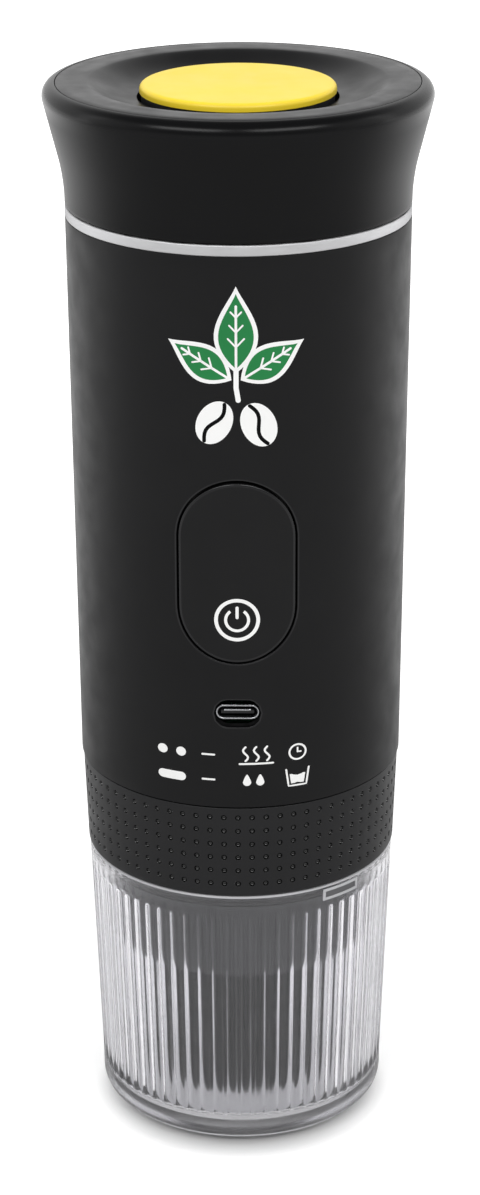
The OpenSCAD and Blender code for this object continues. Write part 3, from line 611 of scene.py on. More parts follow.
@dataclass(frozen=True)
class Taper:
    """A round surface whose radius changes evenly with the height."""

    z_low: float
    z_high: float
    r_low: float
    r_high: float

    def radius(self, z: float) -> float:
        """Radius at a height."""
        return lerp(self.r_low, self.r_high, (z - self.z_low) / (self.z_high - self.z_low))

    def at(self, x: float, z: float, depth: float = 0.0) -> Point:
        """Point on the front, at a distance to the right and at a depth below the surface."""
        turn = math.degrees(math.asin(x / self.radius(z)))
        return polar(self.radius(z) - depth, turn, z)


# Outer skin that the housing, the key and the prints share
SKIN = Taper(81.5, 198.3, 34.0, 35.0)


@dataclass(frozen=True)
class Stadium:
    """A rectangle with round ends, seen from the front."""

    width: float
    height: float
    middle_z: float

    def toward(self, dx: float, dz: float, grow: float = 0.0) -> Flat:
        """Point of the outline in a direction from the middle.

        Args:
            dx: Direction to the right.
            dz: Direction upwards.
            grow: Distance by which the outline is widened.

        Returns:
            Place to the right and height of the point.
        """
        half_w = self.width / 2 + grow
        half_h = self.height / 2 + grow
        across, along = (dx, dz) if half_h >= half_w else (dz, dx)
        end = min(half_w, half_h)
        run = max(half_w, half_h) - end
        if abs(across) > TINY and abs(along) * end / abs(across) <= run:
            reach = end / abs(across)
        else:
            square = across * across + along * along
            push = abs(along) * run
            reach = (push + math.sqrt(push * push - square * (run * run - end * end))) / square
        return dx * reach, self.middle_z + dz * reach

    def around(self, count: int, grow: float = 0.0) -> list[Flat]:
        """Points round the outline, widened by a distance."""
        return [self.toward(dx * self.width, dz * self.height, grow) for dx, dz in circle(count)]


# Housing, key, port and prints


@dataclass(frozen=True)
class Ring:
    """One ring of points round an opening: where it lies beside the outline and how deep."""

    grow: float
    depth: float = 0.0
    share: float = 0.0
    plane: Optional[float] = None


@dataclass(frozen=True)
class Window:
    """A rectangle of the housing's grid that holds an opening."""

    hole: Stadium
    half_columns: int
    row_low: int
    row_high: int
    rings: tuple[Ring, ...]
    top_gap: float = 0.0
    gap_power: int = 3

    def holds(self, row: int, column: float) -> bool:
        """Whether it takes the place of a cell, counted from the front."""
        return self.row_low <= row < self.row_high and abs(column) < self.half_columns


@dataclass
class Housing:
    """The tapered shell with its openings for the key and the charging port."""

    wall: float = 2.2
    edge: float = 0.3
    edge_step: float = 0.08
    neck_hole: float = 30.65
    columns: int = 240
    low_rows: tuple[float, ...] = (
        81.8, 84.0, 88.0, 92.0, 95.5, 98.0, 100.3, 102.6, 104.9, 107.2, 108.6)
    high_rows: tuple[float, ...] = (160.0, 166.0, 172.0, 178.0, 184.0, 190.0, 195.0, 198.0)
    key_hole: Stadium = Stadium(24.2, 38.9, 133.0)
    key_low: float = 110.0
    key_step: float = 2.3
    key_rows: int = 20
    key_columns: int = 16
    key_gap: float = 0.35
    port_recess: Stadium = Stadium(9.6, 6.0, 102.6)
    port_hole: Stadium = Stadium(9.14, 3.46, 102.6)
    port_rows: Flat = (98.0, 107.2)
    port_columns: int = 7
    port_face: float = 33.18
    port_step: float = 1.4
    port_clear: float = 0.1
    approach: Flat = (0.65, 0.3)
    inner_share: float = 0.5
    # Depth beyond which an opening's walls are painted black as shade
    dark_depth: float = 0.2

    def heights(self) -> list[float]:
        """Heights of the grid's rows between the rounded edges."""
        key = [self.key_low + self.key_step * i for i in range(self.key_rows + 1)]
        return [*self.low_rows, *key, *self.high_rows]

    def windows(self) -> list[Window]:
        """Plans the two openings.

        Returns:
            The openings with the rings of points round them.
        """
        rows = self.heights()
        wide = ROUNDED_EDGE[0][0]
        front = [Ring(wide, share=share) for share in self.approach]
        front += [Ring(*step) for step in ROUNDED_EDGE]
        inside = [Ring(0.0, self.wall), Ring(wide, self.wall, self.inner_share)]
        slim = (self.port_hole.width - self.port_recess.width) / 2 - self.port_clear
        seat = [Ring(0.0, plane=self.port_face), Ring(slim, self.port_step)]
        key_low = rows.index(self.key_low)
        return [Window(self.key_hole, self.key_columns, key_low, key_low + self.key_rows,
                       (*front, *inside), self.key_gap),
                Window(self.port_recess, self.port_columns, *map(rows.index, self.port_rows),
                       (*front, *seat, *inside))]

    def round_row(self, draft: Draft, radius: float, z: float) -> list[int]:
        """Adds the points of one row round the shell, from the back."""
        turns = [360 * c / self.columns - 180 for c in range(self.columns)]
        return draft.row(polar(radius, turn, z) for turn in turns)

    def grid(self, draft: Draft, depth: float, windows: Sequence[Window]) -> list[list[int]]:
        """Draws the shell's surface at a depth, without the windows.

        Args:
            draft: Draft that takes the faces.
            depth: Distance below the outer surface.
            windows: Rectangles that stay open.

        Returns:
            Numbers of the points, row by row.
        """
        rows = [self.round_row(draft, SKIN.radius(z) - depth, z) for z in self.heights()]
        middle = self.columns / 2 - 0.5
        for i, (low, high) in enumerate(zip(rows, rows[1:])):
            for c in range(self.columns):
                if not any(window.holds(i, c - middle) for window in windows):
                    n = (c + 1) % self.columns
                    draft.face((low[c], low[n], high[n], high[c]))
        return rows

    def loop(self, rows: list[list[int]], window: Window) -> list[int]:
        """Finds the points round a window's edge.

        Args:
            rows: Numbers of the grid's points, row by row.
            window: The window.

        Returns:
            Numbers of the points in their order round the window.
        """
        front = self.columns // 2
        left, right = front - window.half_columns, front + window.half_columns
        low, high = window.row_low, window.row_high
        return [*(rows[low][c] for c in range(left, right)),
                *(rows[i][right] for i in range(low, high)),
                *(rows[high][c] for c in range(right, left, -1)),
                *(rows[i][left] for i in range(high, low, -1))]

    def open_window(self, draft: Draft, window: Window, outer: list[int],
                    inner: list[int]) -> None:
        """Fills a window with rings round its opening, through the wall to the inside.

        Args:
            draft: Draft that takes the faces.
            window: The window to fill.
            outer: Points of its edge on the outer surface.
            inner: Points of its edge on the inner surface.
        """
        last, hole = outer, window.hole
        for ring in window.rings:
            points = []
            for number in outer:
                x, _, z = draft.points[number]
                px, pz = hole.toward(x, z - hole.middle_z, ring.grow)
                rise = (pz - hole.middle_z) / (hole.height / 2)
                pz += window.top_gap * max(0.0, rise) ** window.gap_power
                px, pz = lerp(px, x, ring.share), lerp(pz, z, ring.share)
                points.append((px, -ring.plane, pz) if ring.plane else SKIN.at(px, pz, ring.depth))
            row = draft.row(points)
            # The port's seat and the deeper walls take black, a painted shade inside the openings
            dark = ring.plane or ring.depth > self.dark_depth
            draft.bridge(last, row, True, 1 if dark else 2 if ring.depth else 0)
            last = row
        draft.bridge(last, inner)

    def build(self) -> None:
        """Draws the shell as one closed piece."""
        draft = Draft()
        windows = self.windows()
        outer = self.grid(draft, 0.0, windows)
        inner = self.grid(draft, self.wall, windows)
        for window in windows:
            self.open_window(draft, window, self.loop(outer, window), self.loop(inner, window))
        low, high, edge, step = SKIN.r_low, SKIN.r_high, self.edge, self.edge_step
        foot = [(low - step, SKIN.z_low + step), (low - edge, SKIN.z_low),
                (low - self.wall, SKIN.z_low)]
        head = [(high - step, SKIN.z_high - step), (high - edge, SKIN.z_high),
                (self.neck_hole, SKIN.z_high), (self.neck_hole, SKIN.z_high - self.wall)]
        for end, outline in ((0, foot), (-1, head)):
            rows = [self.round_row(draft, radius, z) for radius, z in outline]
            draft.wrap([outer[end], *rows, inner[end]])
        # Finishes: the housing's black, black as painted shade inside the openings, and a glossier
        # edge painted slightly lighter as a highlight
        coats = (Slot.housing_black, Print.black_ink, Print.edge_black)
        draft.piece("housing_shell", "main_body", Slot.housing_black, coats, SHELL_CREASE,
                    "housing")


@dataclass
class Ink:
    """Flat shapes printed on the housing's front, about a middle height."""

    middle_z: float
    proud: float = 0.02
    draft: Draft = field(default_factory=Draft)
    least_steps: int = 12
    step_turn: float = 6.0
    step_length: float = 0.8

    def at(self, x: float, z: float) -> Point:
        """Point of the print, on the surface."""
        return SKIN.at(x, self.middle_z + z, -self.proud)

    def row(self, points: Iterable[Flat]) -> list[int]:
        """Adds points of the print and returns their numbers."""
        return self.draft.row(self.at(x, z) for x, z in points)

    def ring(self, middle: Flat, inner: float, outer: float, start: float = 0.0,
             end: float = 360.0, coat: int = 0) -> None:
        """Prints a ring, or a part of one.

        Args:
            middle: Middle of the ring.
            inner: Inner radius, or 0 for a full disc.
            outer: Outer radius.
            start: First direction in degrees, clockwise from the top.
            end: Last direction.
            coat: Which of the print's inks it takes.
        """
        steps = max(self.least_steps, int((end - start) / self.step_turn))
        radii = (inner, (inner + outer) / 2, outer)
        rows = [self.row(arc(middle, radius, 90 - start, 90 - end, steps)) for radius in radii]
        self.draft.wrap(rows, False, coat)

    def stroke(self, path: Sequence[Flat], width: float, coat: int = 0) -> None:
        """Prints a line with round ends along a path.

        Args:
            path: Points of its middle line.
            width: Width of the line.
            coat: Which of the print's inks it takes.
        """
        fine: list[Flat] = []
        for (x0, z0), (x1, z1) in zip(path, path[1:]):
            count = max(1, int(math.hypot(x1 - x0, z1 - z0) / self.step_length))
            fine += [(lerp(x0, x1, i / count), lerp(z0, z1, i / count)) for i in range(count)]
        fine.append(path[-1])
        left, right = [], []
        for i, (x, z) in enumerate(fine):
            (xa, za), (xb, zb) = fine[max(0, i - 1)], fine[min(len(fine) - 1, i + 1)]
            size = math.hypot(xb - xa, zb - za)
            nx, nz = -(zb - za) / size * width / 2, (xb - xa) / size * width / 2
            left.append((x + nx, z + nz))
            right.append((x - nx, z - nz))
        self.draft.bridge(self.row(left), self.row(right), False, coat)
        for (x, z), (xn, zn) in (fine[:2], fine[:-3:-1]):
            away = math.degrees(math.atan2(x - xn, z - zn))
            self.ring((x, z), 0.0, width / 2, away - 90, away + 90, coat)

    def patch(self, outline: Sequence[Flat], coat: int = 0, rings: int = 6) -> None:
        """Prints a filled shape that is seen whole from its middle.

        Args:
            outline: Points round the shape.
            coat: Which of the print's inks it takes.
            rings: Number of rings between the middle and the edge.
        """
        cx, cz = (sum(axis) / len(outline) for axis in zip(*outline))
        rows = [self.row((lerp(cx, x, k / rings), lerp(cz, z, k / rings)) for x, z in outline)
                for k in range(1, rings + 1)]
        self.draft.fan(rows[0], self.at(cx, cz), coat)
        self.draft.wrap(rows, True, coat)


@dataclass
class PowerKey:
    """The large flush key with its power sign."""

    face: Stadium = Stadium(23.5, 38.2, 133.0)
    back: float = 3.25
    lip: float = 1.2
    lip_depth: float = 2.25
    points: int = 120
    edge_width: float = 1.75
    edge_depth: float = 1.6
    front_rings: tuple[float, ...] = (0.0, 0.2, 0.45, 0.7, 0.88)
    back_rings: tuple[float, ...] = (0.8, 0.4, 0.0)
    sign_z: float = 123.2
    sign_frame: Flat = (3.85, 4.6)
    sign_arc: tuple[float, ...] = (2.0, 2.6, 36.0, 324.0)
    sign_bar: Flat = (0.55, 2.65)
    sign_line: float = 0.62

    def ring(self, draft: Draft, grow: float, depth: float, share: float = 1.0) -> list[int]:
        """Adds a ring of points.

        Args:
            draft: Draft that takes them.
            grow: Distance outside the key's outline.
            depth: Distance below the housing's surface.
            share: Share of the way from the key's middle line.

        Returns:
            Numbers of the points.
        """
        middle = self.face.middle_z
        run = (self.face.height - self.face.width) / 2
        row = []
        for up, across in circle(self.points):
            x, z = self.face.toward(across * self.face.width, up * self.face.height, grow)
            core = middle + max(-run, min(run, z - middle))
            row.append(SKIN.at(x * share, lerp(core, z, share), depth))
        return draft.row(row)

    def build(self) -> None:
        """Draws the key and the sign on it."""
        draft = Draft()
        edge = [(-grow * self.edge_width, depth * self.edge_depth) for grow, depth in ROUNDED_EDGE]
        plan = [(*edge[0], share) for share in self.front_rings] + edge
        plan += [(0.0, self.lip_depth), (self.lip, self.lip_depth), (self.lip, self.back)]
        plan += [(0.0, self.back, share) for share in self.back_rings]
        rings = [self.ring(draft, *step) for step in plan]
        first = len(self.front_rings)
        last = first + len(edge) - 1
        for coat, rows in ((0, rings[:first + 1]), (1, rings[first:last + 1]), (0, rings[last:])):
            draft.wrap(rows, True, coat)
        # The key's rounded edge takes the glossier, slightly lighter finish, a painted highlight
        coats = (Slot.key_black, Print.edge_black)
        draft.piece("key_face", "key", Slot.key_black, coats, SHELL_CREASE, "power_key")
        ink = Ink(self.sign_z)
        ink.ring((0, 0), *self.sign_frame)
        ink.ring((0, 0), *self.sign_arc)
        ink.stroke([(0, z) for z in self.sign_bar], self.sign_line)
        ink.draft.piece("power_sign", "key", Slot.key_black, (Print.white_ink,))


def leaf(length: float, width: float, foot: float = 0.0) -> list[Flat]:
    """Outline of an upright pointed leaf.

    Args:
        length: Length from its foot to its tip.
        width: Greatest width.
        foot: Height of its foot.

    Returns:
        Points round the leaf.
    """
    steps, belly, point = 18, 0.8, 1.15
    side = []
    for share in (i / steps for i in range(steps + 1)):
        reach = math.sin(math.pi * share ** belly) ** point
        side.append((width / 2 * reach, foot + length * share))
    return side + [(-x, z) for x, z in side[-2:0:-1]]


@dataclass
class Prints:
    """The plant badge and the press signs on the housing."""

    badge_z: float = 175.0
    layers: Point = (0.02, 0.035, 0.05)
    # Length, width, lean and place of each leaf
    leaves: tuple[tuple[float, ...], ...] = (
        (17.5, 8.6, 0.0, 0.0, 0.0), (14.5, 7.6, -58.0, -0.9, -1.4), (14.5, 7.6, 58.0, 0.9, -1.4))
    leaf_rings: int = 7
    leaf_foot: float = 0.9
    leaf_border: Flat = (2.4, 1.7)
    rib: float = 0.72
    rib_line: float = 0.5
    veins: Point = (0.25, 0.42, 0.59)
    vein_turn: float = 0.75
    vein_reach: float = 0.27
    vein_fade: float = 1.25
    vein_line: float = 0.35
    stem: tuple[Flat, ...] = ((0.0, 0.5), (0.0, -3.0), (0.4, -5.5))
    stem_line: float = 1.0
    # Lean and place of each bean
    beans: tuple[Point, ...] = ((28.0, -4.3, -10.2), (-24.0, 4.4, -10.6))
    bean: Flat = (3.4, 4.7)
    bean_points: int = 36
    slit: Flat = (0.75, 4.3)
    slit_steps: int = 6
    slit_line: float = 0.75
    short_z: float = 93.4
    long_z: float = 87.8
    line: float = 0.42
    press: Flat = (-15.4, -11.6)
    dot: float = 1.0
    bar_line: float = 1.9
    dash: Flat = (-7.2, -4.8)
    waves: Point = (1.6, 3.8, 6.0)
    wave: Point = (0.5, -1.3, 3.1)
    wave_steps: int = 12
    plate: tuple[Flat, ...] = ((0.4, -1.95), (7.2, -1.95))
    clock: Flat = (12.2, -0.1)
    clock_ring: Flat = (1.45, 1.85)
    hands: tuple[Flat, ...] = ((12.2, 0.8), (12.85, -0.1))
    hand_line: float = 0.36
    drops: Flat = (1.9, 4.6)
    drop: Flat = (0.85, -0.45)
    drop_waist: float = 0.5
    drop_tip: float = 2.0
    drop_points: int = 24
    fill: tuple[Flat, ...] = ((10.6, 0.6), (13.8, 0.6), (13.5, -1.5), (10.9, -1.5))
    fill_rings: int = 4
    glass: tuple[Flat, ...] = ((9.9, 1.7), (10.4, -2.0), (14.0, -2.0), (14.5, 1.7))
    glass_line: float = 0.38

    def leaf_veins(self, length: float, width: float) -> list[list[Flat]]:
        """Draws the side veins of an upright leaf.

        Args:
            length: Length of the leaf.
            width: Its greatest width.

        Returns:
            The two ends of each vein.
        """
        lines = []
        for share in self.veins:
            base = self.leaf_foot + share * length
            reach = width * self.vein_reach * (self.vein_fade - share)
            for side in (-1, 1):
                across, up = reach * math.sin(self.vein_turn), reach * math.cos(self.vein_turn)
                lines.append([(0.0, base), (side * across, base + up)])
        return lines

    def badge(self) -> None:
        """Prints a twig with three leaves above two beans."""
        under, over, top = (Ink(self.badge_z, proud) for proud in self.layers)
        foot = self.leaf_foot
        for length, width, *place in self.leaves:
            inner = leaf(length - self.leaf_border[0], width - self.leaf_border[1], foot)
            under.patch(turned(leaf(length, width), *place), 0, self.leaf_rings)
            over.patch(turned(inner, *place), 1, self.leaf_rings)
            rib = [(0.0, foot), (0.0, foot + self.rib * length)]
            top.stroke(turned(rib, *place), self.rib_line)
            for vein in self.leaf_veins(length, width):
                top.stroke(turned(vein, *place), self.vein_line)
        under.stroke(self.stem, self.stem_line)
        half_w, half_h = self.bean
        bean = [(half_w * a, half_h * b) for a, b in circle(self.bean_points)]
        bend, reach = self.slit
        steps = self.slit_steps
        slit = [(bend * math.sin(math.pi * s / steps), reach * s / steps)
                for s in range(-steps, steps + 1)]
        for place in self.beans:
            under.patch(turned(bean, *place))
            over.stroke(turned(slit, *place), self.slit_line, 2)
        for name, ink in (("badge_ground", under), ("badge_leaves", over), ("badge_veins", top)):
            inks = (Print.white_ink, Print.green_ink, Print.black_ink)
            ink.draft.piece(name, "main_body", Slot.housing_black, inks)

    def signs(self) -> None:
        """Prints two rows of signs: two short presses for heat, one long press for a pour."""
        short, long = Ink(self.short_z), Ink(self.long_z)
        for x in self.press:
            short.ring((x, 0.0), 0.0, self.dot)
        long.stroke([(x, 0.0) for x in self.press], self.bar_line)
        for ink in (short, long):
            ink.stroke([(x, 0.0) for x in self.dash], self.line)
        sway, low, rise = self.wave
        steps = self.wave_steps
        for x in self.waves:
            short.stroke([(x + sway * math.sin(math.tau * s / steps), low + rise * s / steps)
                          for s in range(steps + 1)], self.line)
        short.stroke(self.plate, self.line)
        short.ring(self.clock, *self.clock_ring)
        for hand in self.hands:
            short.stroke([self.clock, hand], self.hand_line)
        size, low = self.drop
        for x in self.drops:
            long.patch([(x + size * a * (1 - self.drop_waist * max(0.0, b)),
                         low + size * b * (self.drop_tip if b > 0 else 1.0))
                        for a, b in circle(self.drop_points)])
        long.patch(self.fill, 0, self.fill_rings)
        long.stroke(self.glass, self.glass_line)
        for name, ink in (("press_sign_short", short), ("press_sign_long", long)):
            ink.draft.piece(name, "main_body", Slot.housing_black, (Print.white_ink,))

    def build(self) -> None:
        """Prints the badge and the signs."""
        self.badge()
        self.signs()


@dataclass
class ChargingPort:
    """The metal shell of the port, and the bright edge of its tongue."""

    shell: Stadium = Stadium(8.94, 3.26, 102.6)
    face: float = 33.18
    back: float = 25.88
    sheet: float = 0.42
    lip_steps: int = 6
    points: int = 64
    tongue: Stadium = Stadium(5.6, 0.36, 102.92)
    tongue_face: float = 32.9
    tongue_points: int = 40
    # How much wider and how far behind the front each ring of the tongue's edge is
    tongue_rings: tuple[Flat, ...] = ((0.0, 0.5), (0.0, 0.08), (-0.06, 0.02), (-0.12, 0.0))

    def build(self) -> None:
        """Draws the tongue's edge as a rounded bar and the shell as a tube with a rolled lip."""
        edge = Draft()
        edge.bar([edge.row((x, back - self.tongue_face, z)
                           for x, z in self.tongue.around(self.tongue_points, grow))
                  for grow, back in self.tongue_rings])
        edge.piece("port_tongue_edge", "main_body", Slot.steel, sharp=TRIM_CREASE)
        half = self.sheet / 2
        lip = arc((-half, self.face - half), half, 0, 180, self.lip_steps)
        tube = Draft()
        rows = [tube.row((x, -distance, z) for x, z in self.shell.around(self.points, grow))
                for grow, distance in ((0.0, self.back), *lip, (-self.sheet, self.back))]
        tube.wrap(rows + rows[:1])
        tube.piece("port_shell", "main_body", Slot.steel, sharp=TRIM_CREASE,
                   stands_for="usb_shell")


# Cup, spout and grip


@dataclass
class Cup:
    """The fluted clear cup that the machine stands on."""

    height: float = 60.5
    rim_r: float = 32.75
    rim_round: float = 0.5
    rim_start: float = 30.0
    rim_steps: tuple[int, int] = (2, 3)
    lip_margin: float = 0.01
    foot_r: float = 30.75
    wall: float = 2.2
    floor: float = 3.4
    foot_h: float = 7.0
    foot_round: float = 4.0
    foot_steps: int = 10
    foot_step: float = 0.12
    # Inset and drop of the steps round the foot's upper edge
    foot_edge: tuple[Flat, ...] = ((0.0, 0.35), (0.04, 0.1), (0.12, 0.01))
    fillet: float = 5.0
    fillet_steps: int = 8
    hollow: float = 0.8
    stand_w: float = 4.0
    # Radius and height of the steps from the hollow to the ring that it stands on
    stand_edge: tuple[Flat, ...] = ((-1.2, 0.8), (-0.7, 0.6), (-0.2, 0.1), (0.3, 0.0))
    hub: float = 3.0
    floor_row: float = 14.0
    inner_rows: tuple[float, ...] = (54.0, 46.0, 38.0, 30.0, 22.0, 14.0)
    band_rows: Flat = (57.0, 58.5)
    flutes: int = 66
    flute_depth: float = 0.55
    flute_r: float = 1.5
    flute_columns: tuple[float, ...] = (
        -1.07, -1.0, -0.88, -0.66, -0.35, 0.0, 0.35, 0.66, 0.88, 1.0, 1.07)
    flute_low: Flat = (0.4, 1.5)
    flute_rows: int = 9
    flute_ends: tuple[float, ...] = (0.3, 0.6, 0.85, 1.0, 1.1, 1.16)
    band: float = 4.3
    latch_w: float = 9.5
    latch_h: float = 2.6
    latch_line: float = 0.6
    latch_proud: float = 0.3
    latch_edge: float = 0.1
    latch_base: float = 0.01
    latch_ground: float = 0.06
    ground_steps: int = 4
    latch_top: float = 59.6
    latch_turn: float = 41.0
    latch_steps: tuple[Flat, ...] = (
        (-1, -1), (-0.5, -1), (0, -1), (0.5, -1), (1, -1), (1, 0),
        (1, 1), (0.5, 1), (0, 1), (-0.5, 1), (-1, 1), (-1, 0))

    @property
    def side(self) -> Taper:
        """The wall's outer surface, without the flutes."""
        return Taper(self.foot_h, self.height, self.foot_r, self.rim_r)

    def fluted_row(self, radius: float, z: float, climb: Optional[float] = None) -> list[Point]:
        """Points of one row round the cup, with the flutes cut in.

        Args:
            radius: Radius of the uncut surface.
            z: Height of the row.
            climb: Height above the start of the flutes' round ends, or None without flutes.

        Returns:
            The points, flute by flute.
        """
        core = self.flute_r - self.flute_depth
        edge = math.sqrt(self.flute_r ** 2 - core ** 2)
        girth = max(radius, self.foot_r)
        points = []
        for i in range(self.flutes):
            middle = 360 * (i + 0.5) / self.flutes
            for place in self.flute_columns:
                off = place * edge
                cut = 0.0
                if climb is not None:
                    reach = self.flute_r ** 2 - climb ** 2 - off ** 2
                    cut = max(0.0, math.sqrt(max(0.0, reach)) - core)
                points.append(polar(radius - cut, middle + math.degrees(off / girth), z))
            points.append(polar(radius, middle + 180 / self.flutes, z))
        return points

    def rows(self) -> list[tuple[float, ...]]:
        """Plans the rows, from under the cup over its rim to its floor.

        Returns:
            Radius and height of every row, and its climb where it has flutes.
        """
        side, foot_r, foot = self.side, self.foot_r, self.foot_h
        bend, rim, top = foot_r - self.foot_round, self.rim_round, self.height - self.rim_round
        rows = [(self.hub, self.hollow)]
        rows += [(bend - self.stand_w + out, z) for out, z in self.stand_edge]
        rows += arc((bend, self.foot_round), self.foot_round, -90, 0, self.foot_steps)
        rows += [(foot_r - inset, foot - drop) for inset, drop in self.foot_edge]
        first, second = (foot + rise for rise in self.flute_low)
        high = self.height - self.band - self.flute_r
        rows += [(foot_r - self.foot_step, foot, 0.0),
                 (side.radius(first) - self.foot_step, first, 0.0)]
        heights = [lerp(second, high, i / self.flute_rows) for i in range(self.flute_rows + 1)]
        rows += [(side.radius(z), z, 0.0) for z in heights]
        rows += [(side.radius(high + climb), high + climb, climb) for climb in self.flute_ends]
        rows += [(side.radius(z), z) for z in (*self.band_rows, top)]
        outside, inside = self.rim_steps
        rows += arc((self.rim_r - rim, top), rim, self.rim_start, 90, outside)
        rows += arc((self.rim_r - self.wall + rim, top), rim, 90, 180, inside)
        rows += [(side.radius(z) - self.wall, z) for z in self.inner_rows]
        knee = self.floor + self.fillet
        rows += arc((side.radius(knee) - self.wall - self.fillet, knee), self.fillet, 0, -90,
                    self.fillet_steps)
        return rows + [(self.floor_row, self.floor), (self.hub, self.floor)]

    def beside(self, turn: float, x: float, z: float, proud: float) -> Point:
        """Point off the wall, at a distance along it from a direction."""
        radius = self.side.radius(z) + proud
        return polar(radius, turn + math.degrees(x / radius), z)

    def latch(self, draft: Draft, turn: float) -> None:
        """Draws a raised frame with a dark ground on the smooth band.

        Args:
            draft: Draft that takes the faces.
            turn: Direction of its middle.
        """
        half_w, half_h, line = self.latch_w / 2, self.latch_h / 2, self.latch_line
        middle = self.latch_top - half_h
        soft, base, proud = self.latch_edge, self.latch_base, self.latch_proud
        levels = [(0.0, base), (0.0, proud - soft), (soft, proud),
                  (line - soft, proud), (line, proud - soft), (line, base)]

        def row(inset: float, out: float, steps: Iterable[Flat]) -> list[int]:
            """Adds points at shares of the frame's half width and height, inset from its edge."""
            spots = [(a * (half_w - inset), middle + b * (half_h - inset)) for a, b in steps]
            return draft.row(self.beside(turn, x, z, out) for x, z in spots)

        rows = [row(*level, self.latch_steps) for level in levels]
        draft.wrap(rows + rows[:1])
        half = self.ground_steps
        ground = [[(a / half, b) for a in range(-half, half + 1)] for b in (-1, 0, 1)]
        draft.wrap([row(line, self.latch_ground, steps) for steps in ground], False, 1)

    def build(self) -> None:
        """Draws the cup as one closed piece, and a latch frame on each side."""
        draft = Draft()
        plan = self.rows()
        rows = [draft.row(self.fluted_row(*row)) for row in plan]
        # Faces over the rim take the pale frosted finish, a painted highlight along the rim's edge
        lip_z = self.height - self.rim_round - self.lip_margin
        for i in range(len(rows) - 1):
            lip = min(plan[i][1], plan[i + 1][1]) > lip_z
            draft.bridge(rows[i], rows[i + 1], True, 1 if lip else 0)
        for row, z in ((rows[0], self.hollow), (rows[-1], self.floor)):
            draft.fan(row, (0.0, 0.0, z))
        coats = (Slot.smoky_clear, Print.frosted_clear)
        draft.piece("fluted_cup", "cup", Slot.smoky_clear, coats, FLUTE_CREASE, "cup")
        frames = Draft()
        for turn in (self.latch_turn, self.latch_turn + 180):
            self.latch(frames, turn)
        # The frames take the pale frosted finish, a painted highlight on them
        coats = (Print.frosted_clear, Print.latch_grey)
        frames.piece("cup_latch_frames", "cup", Slot.smoky_clear, coats, RIB_CREASE)


@dataclass
class Spout:
    """The tapered spout under the brew holder, which ends just above the cup's floor."""

    z_low: float = 4.3
    r_low: float = 16.8
    r_high: float = 19.0
    wall: float = 2.0
    outlet: float = 4.5
    outlet_edge: float = 0.6
    outlet_steps: int = 4
    funnel: float = 9.0
    edge: float = 1.2
    edge_steps: int = 6
    columns: int = 128

    def build(self) -> None:
        """Draws the spout with its funnel and outlet, up to the node's upper end."""
        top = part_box("spout")[1][2] / MM
        low, floor, soft = self.z_low, self.z_low + self.wall, self.outlet_edge
        outline = [(self.r_high - self.wall, top), (self.r_high, top)]
        bend = (self.r_low - self.edge, low + self.edge)
        outline += arc(bend, self.edge, 0, -90, self.edge_steps)
        outline += arc((self.outlet + soft, low + soft), soft, -90, -180, self.outlet_steps)
        outline += [(self.outlet, floor), (self.r_low - self.wall, floor + self.funnel)]
        draft = Draft().lathe(outline, self.columns)
        # The spout takes the near-black copy of the holder's black, a painted shade
        coats = (Print.spout_black,)
        draft.piece("tapered_spout", "holder", Slot.holder_black, coats, stands_for="spout")


